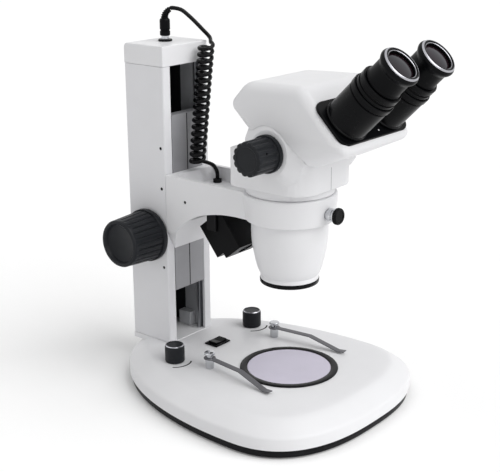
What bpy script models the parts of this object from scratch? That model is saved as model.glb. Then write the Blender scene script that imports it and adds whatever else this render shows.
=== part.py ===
"""Stereo microscope on a column stand, modelled as separate pieces.

Metres, +Z up. The origin is on the table under the optical axis. The user sits at -Y, the column stands
at +Y, and the microscope's left side is at -X.
"""
import math

import bmesh
import bpy
from mathutils import Matrix, Vector

# Clearances
SEAT_GAP = 0.0003
RUN_GAP = 0.0006

# Roundness of turned pieces
FINE_STEPS = 32
PLAIN_STEPS = 24
SMALL_STEPS = 16
TINY_STEPS = 12
# Small chamfer on the edges of turned pieces
EDGE = 0.0008

# Base: an egg-shaped plan, a long oval behind and a squarer oval in front
BASE_HALF_WIDTH = 0.1233
BASE_WIDEST_Y = -0.0176
BASE_FRONT_REACH = 0.0888
BASE_BEHIND_COLUMN = 0.0041
BASE_FRONT_POWER = 2.58
BASE_BACK_POWER = 2.09
BASE_OUTLINE_POINTS = 44
BASE_HEIGHT = 0.0257
BASE_WALL = 0.004
FOOT_RADIUS = 0.009
FOOT_HEIGHT = 0.0015
RIM_HEIGHT = 0.0076
RIM_INSET = 0.0019
# Rounding of the base's upper edge, as inset from the outline and drop below the top
BASE_EDGE = ((0.0, 0.0155), (0.0010, 0.0132), (0.0045, 0.0104), (0.0100, 0.0066), (0.0155, 0.0030),
             (0.0205, 0.0008), (0.0270, 0.0))
# Middles of the front and back feet, as insets from the base's sides and from its front or back end
FRONT_FOOT_INSETS = (0.0453, 0.0514)
BACK_FOOT_INSETS = (0.0713, 0.0634)
PAD_RISE = 0.0005
PAD_DEPTH = 0.018

# Stage
STAGE_RING_BAND = 0.0075
STAGE_RING_PROUD = 0.0012
STAGE_RING_SLEEVE = 0.0035
STAGE_LIP = 0.0028
STAGE_LIP_THICKNESS = 0.002
GLASS_RADIUS = 0.0425
GLASS_THICKNESS = 0.004
GLASS_RECESS = 0.0003
LAMP_BOARD_RADIUS = 0.030
LAMP_BOARD_THICKNESS = 0.003
LAMP_DOME_RADIUS = 0.011
LAMP_DOME_RISE = 0.006

# Stage clips
CLIP_X = 0.0525
CLIP_Y = 0.0609
CLIP_SPLAY = math.radians(6.5)
POST_RADIUS = 0.0034
POST_COLLAR_RADIUS = 0.0044
POST_HEAD_RADIUS = 0.0056
POST_HEAD_HEIGHT = 0.0026
POST_HEIGHT = 0.0176
LEAF_RISE = 0.0105
LEAF_WIDTH = 0.0065
LEAF_THICKNESS = 0.0010
LEAF_EYE_RADIUS = 0.0062
LEAF_FLAT = 0.045
LEAF_SLOPE = 0.034
LEAF_TOE = 0.008
LEAF_TOE_RISE = 0.0008
LEAF_TOE_CLEARANCE = 0.0004

# Dimmer knobs and their potentiometers
DIMMER_X = 0.0621
DIMMER_Y = 0.1005
DIMMER_RADIUS = 0.01015
DIMMER_HEIGHT = 0.0180
DIMMER_EDGE = 0.0014
POT_SHAFT_RADIUS = 0.003
POT_SHAFT_LENGTH = 0.0150
POT_BUSH_RADIUS = 0.0045
POT_BODY_RADIUS = 0.008
POT_BODY_DEPTH = 0.009

# Rocker switch
SWITCH_X = 0.001
SWITCH_Y = 0.0975
SWITCH_LENGTH = 0.0225
SWITCH_WIDTH = 0.0165
SWITCH_BEZEL = 0.0016
SWITCH_BODY_DEPTH = 0.012
SWITCH_FLANGE = 0.0016
SWITCH_RIM = 0.0029
ROCKER_RISE = 0.0022
ROCKER_DEPTH = 0.0050

# Column, a U section with lips beside the slot
COLUMN_WIDTH = 0.0664
COLUMN_DEPTH = 0.0546
COLUMN_FRONT_Y = 0.1347
COLUMN_HEIGHT = 0.295
COLUMN_SIDE_WALL = 0.0072
COLUMN_BACK_WALL = 0.0083
COLUMN_CORNER = 0.0022
SLOT_EDGE = 0.0104
SLOT_LIP = 0.0033
CAP_HEIGHT = 0.0203
CAP_ROUND = 0.0045
CAP_WALL = 0.005
GIB_HOLE_RADIUS = 0.0017
GIB_HOLE_DEPTH = 0.003
# Adjusting holes in the column's sides, above its foot
GIB_HOLE_RISES = (0.0842, 0.1696, 0.2121)

# Power inlet on the column's back
INLET_RISE = 0.0292
INLET_WIDTH = 0.031
INLET_HEIGHT = 0.025
INLET_FLANGE = 0.002
INLET_BODY_WIDTH = 0.027
INLET_BODY_HEIGHT = 0.020
INLET_BODY_DEPTH = 0.016
INLET_WALL = 0.002

# Focus slide
CARRIAGE_DROP = 0.1282
CARRIAGE_HEIGHT = 0.188
CARRIAGE_DEPTH = 0.0111
CARRIAGE_SEAM = 0.0012
RAIL_THICKNESS = 0.0022
RAIL_BITE = 0.0030
RAIL_SET_BACK = 0.0052
STOP_WIDTH = 0.0085
STOP_DEPTH = 0.016
STOP_HEIGHT = 0.015
STOP_SET_BACK = 0.0125
RACK_BACK = 0.0031
RACK_WIDTH = 0.010
TOOTH_MODULE = 0.0015
PINION_TEETH = 12
PINION_WIDTH = 0.012
TOOTH_HALF_AT_PITCH = 0.00085
TOOTH_FLANK = 0.34
FOCUS_RISE = 0.1178
FOCUS_SHAFT_RADIUS = 0.004

# Focus knobs
FOCUS_KNOB_LENGTH = 0.0446
FOCUS_KNOB_RIM_RADIUS = 0.0279
FOCUS_KNOB_RIM_WIDTH = 0.0060
FOCUS_KNOB_FACE_RADIUS = 0.0247
FOCUS_KNOB_DISH_RADIUS = 0.0205
FOCUS_KNOB_DISH = 0.0050
FOCUS_KNOB_GRIP_DEPTH = 0.030
FOCUS_KNOB_EDGE = 0.0015

# Arm with its ring
ARM_PROUD = 0.0006
ARM_RISE = 0.0676
ARM_WALL = 0.005
ARM_BACK_WALL = 0.009
ARM_FLOOR_DROP = 0.0152
ARM_FLOOR = 0.005
ARM_SHOULDER_DROP = 0.0582
ARM_FOOT_DROP = 0.0807
ARM_HOLE_RADIUS = 0.0017
ARM_HOLE_DEPTH = 0.002
ARM_HOLE_BACK = 0.0261
ARM_HOLE_DROP = 0.0242
RING_HEIGHT = 0.0274
RING_WALL = 0.0075
RING_TAPER = 0.0033
RING_BEVEL = 0.0012
# Arch under the arm, as distance in front of its back and drop below the ring's lower face
ARM_ARCH = ((0.0921, -0.0004), (0.0721, 0.0013), (0.0481, 0.0068), (0.0301, 0.0153), (0.0141, 0.0298))
ARM_GUSSET = 0.0281
RING_WEB = 0.0084
HOLLOW_WEB = 0.0114

# Clamp screw in the ring, backed off so that the head can turn
CLAMP_RISE = 0.0116
CLAMP_RADIUS = 0.0050
CLAMP_TIP_GAP = 0.0050
CLAMP_SHANK = 0.0105
CLAMP_HEAD_RADIUS = 0.0086
CLAMP_HEAD_LENGTH = 0.0056

# Incident lamp under the arm
LAMP_SET_FORWARD = 0.0230
LAMP_DROP = 0.0256
LAMP_PITCH = math.radians(51.3)
LAMP_HALF_WIDTH = 0.020
LAMP_BACK = 0.017
LAMP_FRONT = 0.017
LAMP_ABOVE = 0.007
LAMP_BELOW = 0.0302
LAMP_NOSE = 0.0058
LAMP_NOSE_BACK = 0.0045
LAMP_LENS_RADIUS = 0.0085
LAMP_LENS_THICKNESS = 0.003
LAMP_PIN_RADIUS = 0.002
YOKE_THICKNESS = 0.002
YOKE_WIDTH = 0.012
YOKE_BELOW_PIN = 0.006

# Objective barrel
BARREL_RADIUS = 0.038
BARREL_COLLAR_PROUD = 0.0055
BARREL_COLLAR = 0.0075
BARREL_WALL = 0.005
BARREL_LENGTH = 0.0957
# Lower taper of the barrel, as inset from its radius and height above its lower face
BARREL_TAPER = ((0.0001, 0.0494), (0.0007, 0.0373), (0.0026, 0.0259), (0.0054, 0.0134), (0.0080, 0.0065),
                (0.0096, 0.0040), (0.0091, 0.0026))
LENS_WINDOW_WALL = 0.0054
LENS_SEAT = 0.005
OBJECTIVE_RING_PROUD = 0.0005
OBJECTIVE_RING_HEIGHT = 0.0042
OBJECTIVE_RING_LIP = 0.0020
LENS_THICKNESS = 0.0035

# Zoom body under the head
ZOOM_HALF_WIDTH = 0.0454
ZOOM_FRONT_Y = -0.0485
ZOOM_BACK_Y = 0.042
ZOOM_FRONT_CORNER = 0.024
ZOOM_BACK_CORNER = 0.010
ZOOM_HEIGHT = 0.036
ZOOM_WALL = 0.004
ZOOM_SHAFT_Y = -0.0148
ZOOM_SHAFT_RISE = 0.0400
ZOOM_SHAFT_RADIUS = 0.004
BOSS_ROOT_RADIUS = 0.0350
BOSS_FACE_RADIUS = 0.0215
BOSS_REACH = 0.0065
DRUM_RADIUS = 0.0150
DRUM_LENGTH = 0.036
DRUM_ROOM = 0.012
ZOOM_KNOB_RIM_RADIUS = 0.0180
ZOOM_KNOB_RIM_WIDTH = 0.0045
ZOOM_KNOB_RADIUS = 0.0163
ZOOM_KNOB_LENGTH = 0.0309
ZOOM_KNOB_GRIP_DEPTH = 0.020
CARRIER_RISE = 0.0115
CARRIER_THICKNESS = 0.005
CARRIER_LENS_RADIUS = 0.008
CARRIER_LENS_X = 0.014

# Head: middle of its slanted face, above the zoom body's foot, and the face's slope
TUBE_X = 0.0295
FACE_Y = -0.0838
FACE_RISE = 0.0747
FACE_SLOPE = math.radians(45)
FACE_LOW = 0.0309
FACE_HIGH = 0.0440
HEAD_HALF_WIDTH = 0.0575
HEAD_BACK_HALF_WIDTH = 0.0475
HEAD_BELLY_TUCK = 0.32
HEAD_BELLY_RISE = 0.035
HEAD_WALL = 0.004
HEAD_EDGE = 0.010
HEAD_EDGE_STEPS = 4
FACE_CORNERS = (0.007, 0.018)
# Rest of the head's side outline as (y, rise above the zoom body's foot, corner radius)
HEAD_PROFILE = ((-0.0520, 0.0268, 0.034), (0.0000, 0.0393, 0.012), (0.0395, 0.0792, 0.009),
                (0.0175, 0.1022, 0.022))
FRAME_SIDE = 0.0045
FRAME_LOW = 0.0084
FRAME_HIGH = 0.0185
PLATE_CORNER = 0.0110
PLATE_THICKNESS = 0.003
PLATE_PROUD = 0.0017
PLATE_LEDGE = 0.0040
SWING_OFFSET = 0.014
SWING_LIMIT = math.radians(14)

# Eyepiece tubes, lengths along the tube from the face plate
TUBE_RADIUS = 0.0208
TUBE_LENGTH = 0.0420
TUBE_RING_RADIUS = 0.0215
TUBE_RING_WIDTH = 0.0060
TUBE_GROOVE = 0.0012
TUBE_BORE = 0.0153
STUB_RADIUS = 0.0125
STUB_LENGTH = 0.0065
STUB_BORE = 0.009
PRISM_SIZE = 0.020
DIOPTER_RADIUS = 0.0201
DIOPTER_WIDTH = 0.0110
DIOPTER_GROOVE = 0.0010
EYEPIECE_RADIUS = 0.0170
EYEPIECE_SHOULDER_RADIUS = 0.0178
EYEPIECE_BARREL_LENGTH = 0.030
EYEPIECE_BODY = 0.0165
EYEPIECE_RIM_RADIUS = 0.0196
EYEPIECE_RIM = 0.0100
EYEPIECE_TOP_RADIUS = 0.0178
EYEPIECE_BORE = 0.0115
EYE_LENS_RADIUS = 0.0140
EYE_LENS_SEAT = 0.0050
EYE_LENS_THICKNESS = 0.0030

# Plug and curly cord
SOCKET_RADIUS = 0.0072
SOCKET_BORE = 0.0042
SOCKET_HEIGHT = 0.002
PLUG_COLLAR_RADIUS = 0.0040
PLUG_COLLAR_HEIGHT = 0.0028
PLUG_PIN_DEPTH = 0.006
PLUG_RADIUS = 0.0053
PLUG_LENGTH = 0.0172
RELIEF_RADIUS = 0.0041
RELIEF_END_RADIUS = 0.0030
RELIEF_RIBS = 4
CORD_DIAMETER = 0.0036
CURL_COUNT = 18
CURL_RADIUS = 0.0068
POINTS_PER_CURL = 8
GROMMET_RADIUS = 0.0045
GROMMET_HEIGHT = 0.0035
# Cord route: over the top from the strain relief, and from the coil down to the grommet
CORD_LEAD_IN = ((0.0037, 0.1578, 0.3838), (0.0070, 0.1539, 0.3854), (0.0109, 0.1494, 0.3832),
                (0.0155, 0.1442, 0.3777), (0.0200, 0.1389, 0.3698), (0.0240, 0.1344, 0.3620),
                (0.0275, 0.1300, 0.3544))
COIL_TOP = (0.0165, 0.1225, 0.3434)
COIL_MIDDLE = (0.0085, 0.1220, 0.2934)
COIL_BOTTOM = (0.0005, 0.1215, 0.2344)
CORD_LEAD_OUT = ((0.0125, 0.1180, 0.2324), (0.0185, 0.1155, 0.2274), (0.0215, 0.1138, 0.2204))
GROMMET_X = 0.0220
GROMMET_Y = 0.1130

# Looks: colour, roughness, metallic
WHITE_PAINT = ((0.80, 0.80, 0.82), 0.38, 0.0)
BLACK_PLASTIC = ((0.020, 0.021, 0.023), 0.45, 0.0)
BLACK_METAL = ((0.025, 0.026, 0.028), 0.32, 0.3)
RUBBER = ((0.015, 0.015, 0.016), 0.75, 0.0)
CHROME = ((0.75, 0.76, 0.78), 0.12, 1.0)
STEEL = ((0.42, 0.43, 0.45), 0.32, 1.0)
DARK_STEEL = ((0.12, 0.12, 0.13), 0.35, 0.9)
CAST_GREY = ((0.36, 0.37, 0.39), 0.45, 0.4)
BRASS = ((0.62, 0.47, 0.22), 0.30, 1.0)
FROSTED = ((0.68, 0.66, 0.74), 0.55, 0.0)
GLASS = ((0.30, 0.26, 0.34), 0.05, 0.0)
LED_YELLOW = ((0.85, 0.75, 0.35), 0.35, 0.0)

# Places worked out from the sizes above
PLATE_BOTTOM_Z = FOOT_HEIGHT + SEAT_GAP
PLATE_TOP_Z = PLATE_BOTTOM_Z + RIM_HEIGHT
SHELL_BOTTOM_Z = PLATE_TOP_Z + SEAT_GAP
BASE_TOP = SHELL_BOTTOM_Z + BASE_HEIGHT
STAGE_RING_RADIUS = GLASS_RADIUS + STAGE_RING_BAND
COLUMN_BOTTOM_Z = BASE_TOP + PAD_RISE + SEAT_GAP
COLUMN_TOP_Z = COLUMN_BOTTOM_Z + COLUMN_HEIGHT
COLUMN_BACK_Y = COLUMN_FRONT_Y + COLUMN_DEPTH
COLUMN_MID_Y = COLUMN_FRONT_Y + COLUMN_DEPTH / 2
BASE_BACK_REACH = COLUMN_BACK_Y + BASE_BEHIND_COLUMN - BASE_WIDEST_Y
FRONT_FOOT_X = BASE_HALF_WIDTH - FRONT_FOOT_INSETS[0]
FRONT_FOOT_Y = BASE_WIDEST_Y - BASE_FRONT_REACH + FRONT_FOOT_INSETS[1]
BACK_FOOT_X = BASE_HALF_WIDTH - BACK_FOOT_INSETS[0]
BACK_FOOT_Y = BASE_WIDEST_Y + BASE_BACK_REACH - BACK_FOOT_INSETS[1]
SLOT_HALF_WIDTH = COLUMN_WIDTH / 2 - SLOT_EDGE
CAVITY_HALF_WIDTH = COLUMN_WIDTH / 2 - COLUMN_SIDE_WALL
CAP_BOTTOM_Z = COLUMN_TOP_Z + SEAT_GAP
CAP_TOP_Z = CAP_BOTTOM_Z + CAP_HEIGHT
INLET_Z = COLUMN_BOTTOM_Z + INLET_RISE
ARM_BACK_Y = COLUMN_FRONT_Y - RUN_GAP
ARM_HALF_WIDTH = COLUMN_WIDTH / 2 + ARM_PROUD
CARRIAGE_FRONT_Y = ARM_BACK_Y + SEAT_GAP
CARRIAGE_BACK_Y = CARRIAGE_FRONT_Y + CARRIAGE_DEPTH
CARRIAGE_HALF_WIDTH = SLOT_HALF_WIDTH - RUN_GAP
RAIL_Y = COLUMN_FRONT_Y + RAIL_SET_BACK
PITCH_RADIUS = TOOTH_MODULE * PINION_TEETH / 2
TOOTH_ROOT = 1.25 * TOOTH_MODULE
RACK_PITCH_Y = CARRIAGE_BACK_Y + SEAT_GAP + RACK_BACK + TOOTH_ROOT
FOCUS_Y = RACK_PITCH_Y + PITCH_RADIUS
FOCUS_Z = COLUMN_BOTTOM_Z + FOCUS_RISE
FOCUS_KNOB_X = ARM_HALF_WIDTH + RUN_GAP
ARM_TOP_Z = FOCUS_Z + ARM_RISE
ARM_SHOULDER_Z = ARM_TOP_Z - ARM_SHOULDER_DROP
ARM_FOOT_Z = ARM_TOP_Z - ARM_FOOT_DROP
ARM_FLOOR_TOP_Z = ARM_TOP_Z - ARM_FLOOR_DROP
CARRIAGE_BOTTOM_Z = ARM_TOP_Z - CARRIAGE_DROP
RING_LOW_Z = ARM_TOP_Z - RING_HEIGHT
RING_BORE = BARREL_RADIUS + RUN_GAP
RING_TOP_RADIUS = RING_BORE + RING_WALL
RING_LOW_RADIUS = RING_TOP_RADIUS - RING_TAPER
LAMP_BAY_BACK = ARM_BACK_Y - ARM_GUSSET
LAMP_BAY_TOP_Z = ARM_FLOOR_TOP_Z - ARM_FLOOR
LAMP_Y = LAMP_BAY_BACK - LAMP_SET_FORWARD
LAMP_Z = LAMP_BAY_TOP_Z - LAMP_DROP
COLLAR_LOW_Z = ARM_TOP_Z + SEAT_GAP
BARREL_TOP_Z = COLLAR_LOW_Z + BARREL_COLLAR
BARREL_LOW_Z = BARREL_TOP_Z - BARREL_LENGTH
BARREL_BORE = BARREL_RADIUS - BARREL_WALL
BARREL_FOOT_RADIUS = BARREL_RADIUS - BARREL_TAPER[-1][0]
LENS_WINDOW_RADIUS = BARREL_FOOT_RADIUS - LENS_WINDOW_WALL
ZOOM_LOW_Z = BARREL_TOP_Z + SEAT_GAP
ZOOM_TOP_Z = ZOOM_LOW_Z + ZOOM_HEIGHT
ZOOM_SHAFT_Z = ZOOM_LOW_Z + ZOOM_SHAFT_RISE
BOSS_FACE_X = ZOOM_HALF_WIDTH + BOSS_REACH
CARRIER_Z = ZOOM_LOW_Z + CARRIER_RISE
PLATE_HALF_WIDTH = HEAD_HALF_WIDTH - FRAME_SIDE
PLATE_LOW = FACE_LOW - FRAME_LOW
PLATE_HIGH = FACE_HIGH - FRAME_HIGH
EYEPIECE_BARREL_RADIUS = TUBE_BORE - SEAT_GAP
PLUG_Z = CAP_TOP_Z + SEAT_GAP + SOCKET_HEIGHT + SEAT_GAP
PLUG_BODY_Z = PLUG_Z + PLUG_COLLAR_HEIGHT + SEAT_GAP

# Slope frame of the face: X stays, Y runs up the slope, Z points along the tubes
FACE = Matrix.Translation((0.0, FACE_Y, ZOOM_LOW_Z + FACE_RISE)) @ Matrix.Rotation(FACE_SLOPE, 4, 'X')
# Side views are drawn as (y, z) outlines and made thick along X
SIDEWAYS = Matrix(((0, 0, 1, 0), (1, 0, 0, 0), (0, 1, 0, 0), (0, 0, 0, 1)))
ALONG_X = Matrix.Rotation(math.pi / 2, 4, 'Y')
# Clamp screw's frame: Z points out of the ring towards the user
CLAMP = Matrix.Translation((0.0, 0.0, RING_LOW_Z + CLAMP_RISE)) @ Matrix.Rotation(math.pi / 2, 4, 'X')


def clear_scene():
    """Removes every object, so the script can be run again."""
    for item in list(bpy.data.objects):
        bpy.data.objects.remove(item)


def collection(name):
    """Makes a collection under the scene."""
    made = bpy.data.collections.new(name)
    bpy.context.scene.collection.children.link(made)
    return made


clear_scene()
PARTS = collection("stereo_microscope")
CUTTERS = collection("cutters")


def dress(item, look):
    """Gives a piece its own material."""
    colour, roughness, metallic = look
    material = bpy.data.materials.new(item.name + "_finish")
    material.use_nodes = True
    shader = material.node_tree.nodes["Principled BSDF"]
    shader.inputs["Base Color"].default_value = (*colour, 1.0)
    shader.inputs["Roughness"].default_value = roughness
    shader.inputs["Metallic"].default_value = metallic
    item.data.materials.clear()
    item.data.materials.append(material)


def add(name, data, look=None, place=Matrix()):
    """Links a new object, as a part where it has a look and as a cutter where it has none."""
    item = bpy.data.objects.new(name, data)
    (PARTS if look else CUTTERS).objects.link(item)
    item.matrix_world = place
    if look:
        dress(item, look)
    else:
        item.hide_render = True
        item.display_type = 'WIRE'
    return item


def shade(mesh):
    """Smooth shading with sharp edges kept."""
    mesh.shade_smooth()
    mesh.set_sharp_from_angle(angle=math.radians(35))


def turned(name, profile, look=None, place=Matrix(), steps=PLAIN_STEPS, ring=False):
    """A profile of (radius, height), down the outer side, turned about its own Z axis."""
    mesh = bpy.data.meshes.new(name)
    points = [(radius, 0.0, height) for radius, height in profile]
    edges = [(i, i + 1) for i in range(len(points) - 1)]
    if ring:
        edges.append((len(points) - 1, 0))
    mesh.from_pydata(points, edges, [])
    item = add(name, mesh, look, place)
    screw = item.modifiers.new("turn", 'SCREW')
    screw.steps = steps
    screw.render_steps = steps
    screw.use_merge_vertices = True
    screw.merge_threshold = 0.00001
    return item


def rod(name, radius, low, high, look=None, place=Matrix(), steps=SMALL_STEPS):
    """A plain round bar along its own Z axis."""
    return turned(name, ((0.0, high), (radius, high), (radius, low), (0.0, low)), look, place, steps)


def block(name, low, high, look=None, place=Matrix()):
    """A box between two corners."""
    mesh = bpy.data.meshes.new(name)
    bm = bmesh.new()
    bmesh.ops.create_cube(bm, size=1.0)
    size = [b - a for a, b in zip(low, high)]
    middle = [(a + b) / 2 for a, b in zip(low, high)]
    bmesh.ops.scale(bm, vec=size, verts=bm.verts)
    bmesh.ops.translate(bm, vec=middle, verts=bm.verts)
    bm.to_mesh(mesh)
    bm.free()
    return add(name, mesh, look, place)


def slab(name, outline, low, high, look=None, place=Matrix()):
    """A flat outline of (x, y) points made thick along its own Z axis."""
    curve = bpy.data.curves.new(name, 'CURVE')
    curve.dimensions = '2D'
    curve.fill_mode = 'BOTH'
    curve.extrude = (high - low) / 2
    spline = curve.splines.new('POLY')
    spline.points.add(len(outline) - 1)
    spline.use_cyclic_u = True
    for point, (x, y) in zip(spline.points, outline):
        point.co = (x, y, 0.0, 1.0)
    source = add(name + "_outline", curve, None, place @ Matrix.Translation((0, 0, (low + high) / 2)))
    return solid_from_curve(name, source, look)


def solid_from_curve(name, source, look):
    """Turns a curve object into a welded mesh piece and removes the curve."""
    bpy.context.view_layer.update()
    graph = bpy.context.evaluated_depsgraph_get()
    mesh = bpy.data.meshes.new_from_object(source.evaluated_get(graph))
    bm = bmesh.new()
    bm.from_mesh(mesh)
    bmesh.ops.remove_doubles(bm, verts=bm.verts, dist=0.000001)
    bmesh.ops.recalc_face_normals(bm, faces=bm.faces)
    bm.to_mesh(mesh)
    bm.free()
    item = add(name, mesh, look, source.matrix_world.copy())
    bpy.data.objects.remove(source)
    return item


def combine(item, tool, operation):
    """Adds a Boolean with a hidden tool piece."""
    boolean = item.modifiers.new(operation.lower(), 'BOOLEAN')
    boolean.operation = operation
    boolean.solver = 'EXACT'
    boolean.object = tool
    return item


def cut(item, *tools):
    """Cuts tool pieces out of a piece."""
    for tool in tools:
        combine(item, tool, 'DIFFERENCE')
    return item


def fuse(item, *tools):
    """Joins tool pieces to a piece."""
    for tool in tools:
        combine(item, tool, 'UNION')
    return item


def rounded(corners, segments=4):
    """An outline of (x, y, radius) corners with each corner as an arc."""
    points = []
    count = len(corners)
    for i, (x, y, radius) in enumerate(corners):
        here = Vector((x, y))
        before = (Vector(corners[i - 1][:2]) - here).normalized()
        after = (Vector(corners[(i + 1) % count][:2]) - here).normalized()
        if radius <= 0.0:
            points.append((x, y))
            continue
        half = before.angle(after) / 2
        reach = radius / math.tan(half)
        centre = here + (before + after).normalized() * (radius / math.sin(half))
        start = here + before * reach - centre
        sweep = (here + after * reach - centre).angle_signed(start)
        for k in range(segments + 1):
            spoke = start.copy()
            spoke.rotate(Matrix.Rotation(sweep * k / segments, 2))
            points.append(tuple(centre + spoke))
    return points


def axis(name, place):
    """An empty on a joint's axis, which carries the pieces that move about it."""
    item = bpy.data.objects.new(name, None)
    PARTS.objects.link(item)
    item.empty_display_size = 0.01
    item.matrix_world = place
    return item


def carry(holder, *pieces):
    """Parents pieces to a holder without moving them."""
    bpy.context.view_layer.update()
    for piece in pieces:
        piece.parent = holder
        piece.matrix_parent_inverse = holder.matrix_world.inverted()


def mirrored_sides():
    """The two sides as (name, sign)."""
    return (("left", -1), ("right", 1))


def base_outline(inset=0.0):
    """Plan points of the base, moved inwards by an inset."""
    points = []
    for i in range(BASE_OUTLINE_POINTS):
        turn = 2 * math.pi * i / BASE_OUTLINE_POINTS
        across, along = math.cos(turn), math.sin(turn)
        power = 2 / (BASE_BACK_POWER if along >= 0 else BASE_FRONT_POWER)
        reach = BASE_BACK_REACH if along >= 0 else BASE_FRONT_REACH
        points.append(Vector((math.copysign(abs(across) ** power, across) * BASE_HALF_WIDTH,
                              BASE_WIDEST_Y + math.copysign(abs(along) ** power, along) * reach)))
    count = len(points)
    moved = []
    for i, point in enumerate(points):
        along = (points[(i + 1) % count] - points[i - 1]).normalized()
        moved.append(point + Vector((-along.y, along.x)) * inset)
    return moved


def lofted(name, sections, look=None, place=Matrix()):
    """A closed solid through sections of (outline, height) with equal point counts."""
    mesh = bpy.data.meshes.new(name)
    bm = bmesh.new()
    loops = []
    for outline, height in sections:
        loops.append([bm.verts.new((x, y, height)) for x, y in outline])
    count = len(loops[0])
    for lower, upper in zip(loops, loops[1:]):
        for i in range(count):
            j = (i + 1) % count
            bm.faces.new((lower[i], lower[j], upper[j], upper[i]))
    bm.faces.new(list(reversed(loops[0])))
    bm.faces.new(loops[-1])
    bm.to_mesh(mesh)
    bm.free()
    return add(name, mesh, look, place)


def make_base():
    """Base casting, bottom plate with its black rim, and the feet."""
    half = COLUMN_WIDTH / 2
    over = BASE_TOP + BASE_WALL
    outer = [(base_outline(inset), BASE_TOP - drop) for inset, drop in BASE_EDGE]
    inner = [(base_outline(inset + BASE_WALL), BASE_TOP - drop - BASE_WALL) for inset, drop in BASE_EDGE]
    shell = lofted("base_shell", [(base_outline(), SHELL_BOTTOM_Z)] + outer, WHITE_PAINT)
    cut(shell, lofted("base_hollow", [(base_outline(BASE_WALL), SHELL_BOTTOM_Z - BASE_WALL)] + inner))
    fuse(shell, block("base_pad", (-half, COLUMN_FRONT_Y, BASE_TOP - PAD_DEPTH),
                      (half, COLUMN_BACK_Y, BASE_TOP + PAD_RISE)))
    sleeve = GLASS_RADIUS + STAGE_RING_SLEEVE
    cut(shell, rod("stage_well", sleeve + SEAT_GAP, SHELL_BOTTOM_Z, over, steps=FINE_STEPS))
    for side, sign in mirrored_sides():
        cut(shell, rod(side + "_pot_hole", POT_BUSH_RADIUS + SEAT_GAP, SHELL_BOTTOM_Z, over,
                       place=Matrix.Translation((sign * DIMMER_X, DIMMER_Y, 0.0))))
    length = SWITCH_LENGTH / 2 - SWITCH_FLANGE + SEAT_GAP
    width = SWITCH_WIDTH / 2 - SWITCH_FLANGE + SEAT_GAP
    cut(shell, block("switch_hole", (SWITCH_X - length, SWITCH_Y - width, SHELL_BOTTOM_Z),
                     (SWITCH_X + length, SWITCH_Y + width, over)))
    slab("base_plate", base_outline(RIM_INSET), PLATE_BOTTOM_Z, PLATE_TOP_Z, BLACK_PLASTIC)
    spots = [(sign * x, y) for x, y in ((FRONT_FOOT_X, FRONT_FOOT_Y), (BACK_FOOT_X, BACK_FOOT_Y))
             for side, sign in mirrored_sides()]
    for number, (x, y) in enumerate(spots, 1):
        rod(f"foot_{number}", FOOT_RADIUS, 0.0, FOOT_HEIGHT, RUBBER, Matrix.Translation((x, y, 0.0)))


def make_stage():
    """Frosted plate in its black ring, with the lamp below."""
    top = BASE_TOP + STAGE_RING_PROUD
    sleeve = GLASS_RADIUS + STAGE_RING_SLEEVE
    seat = GLASS_RADIUS + SEAT_GAP
    shelf = top - GLASS_RECESS - GLASS_THICKNESS - SEAT_GAP
    low = shelf - STAGE_LIP_THICKNESS
    rim, bevel, seated = STAGE_RING_RADIUS, STAGE_RING_PROUD / 2, BASE_TOP + SEAT_GAP
    turned("stage_ring", ((seat, top), (rim - bevel, top), (rim, top - bevel), (rim, seated),
                          (sleeve, seated), (sleeve, low), (seat - STAGE_LIP, low),
                          (seat - STAGE_LIP, shelf), (seat, shelf)),
           BLACK_METAL, steps=FINE_STEPS, ring=True)
    rod("stage_glass", GLASS_RADIUS, shelf + SEAT_GAP, top - GLASS_RECESS, FROSTED, steps=FINE_STEPS)
    board = PLATE_TOP_Z + SEAT_GAP
    face = board + LAMP_BOARD_THICKNESS
    dome = [(LAMP_DOME_RADIUS * math.sin(step), face + LAMP_DOME_RISE * math.cos(step))
            for step in (math.radians(a) for a in (0, 30, 60, 90))]
    turned("stage_lamp", dome + [(LAMP_BOARD_RADIUS, face), (LAMP_BOARD_RADIUS, board), (0.0, board)],
           LED_YELLOW)


def make_clips():
    """Two posts on the base, each with a spring leaf that swings about it."""
    neck = BASE_TOP + LEAF_RISE - SEAT_GAP
    top = BASE_TOP + POST_HEIGHT
    head = top - POST_HEAD_HEIGHT
    flat = BASE_TOP + LEAF_RISE
    toe = BASE_TOP + STAGE_RING_PROUD + LEAF_TOE_CLEARANCE
    bend = LEAF_FLAT + LEAF_SLOPE
    lower = ((0.0, flat), (LEAF_FLAT, flat), (bend, toe), (bend + LEAF_TOE, toe + LEAF_TOE_RISE))
    outline = list(lower) + [(r, z + LEAF_THICKNESS) for r, z in reversed(lower)]
    for side, sign in mirrored_sides():
        place = Matrix.Translation((sign * CLIP_X, CLIP_Y, 0.0))
        turned(side + "_clip_post", ((0.0, top), (POST_HEAD_RADIUS - 2 * EDGE, top),
                                     (POST_HEAD_RADIUS, top - EDGE), (POST_HEAD_RADIUS, head),
                                     (POST_RADIUS, head), (POST_RADIUS, neck), (POST_COLLAR_RADIUS, neck),
                                     (POST_COLLAR_RADIUS, BASE_TOP + SEAT_GAP), (0.0, BASE_TOP + SEAT_GAP)),
               CHROME, place, SMALL_STEPS)
        heading = place @ Matrix.Rotation(-math.pi / 2 + sign * CLIP_SPLAY, 4, 'Z')
        leaf = slab(side + "_clip_leaf", outline, -LEAF_WIDTH / 2, LEAF_WIDTH / 2, DARK_STEEL,
                    heading @ Matrix.Rotation(math.pi / 2, 4, 'X'))
        fuse(leaf, rod(side + "_leaf_eye", LEAF_EYE_RADIUS, flat, flat + LEAF_THICKNESS, place=place))
        cut(leaf, rod(side + "_leaf_hole", POST_RADIUS + SEAT_GAP, BASE_TOP, top, place=place))
        carry(axis(side + "_clip_axis", place), leaf)


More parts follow.
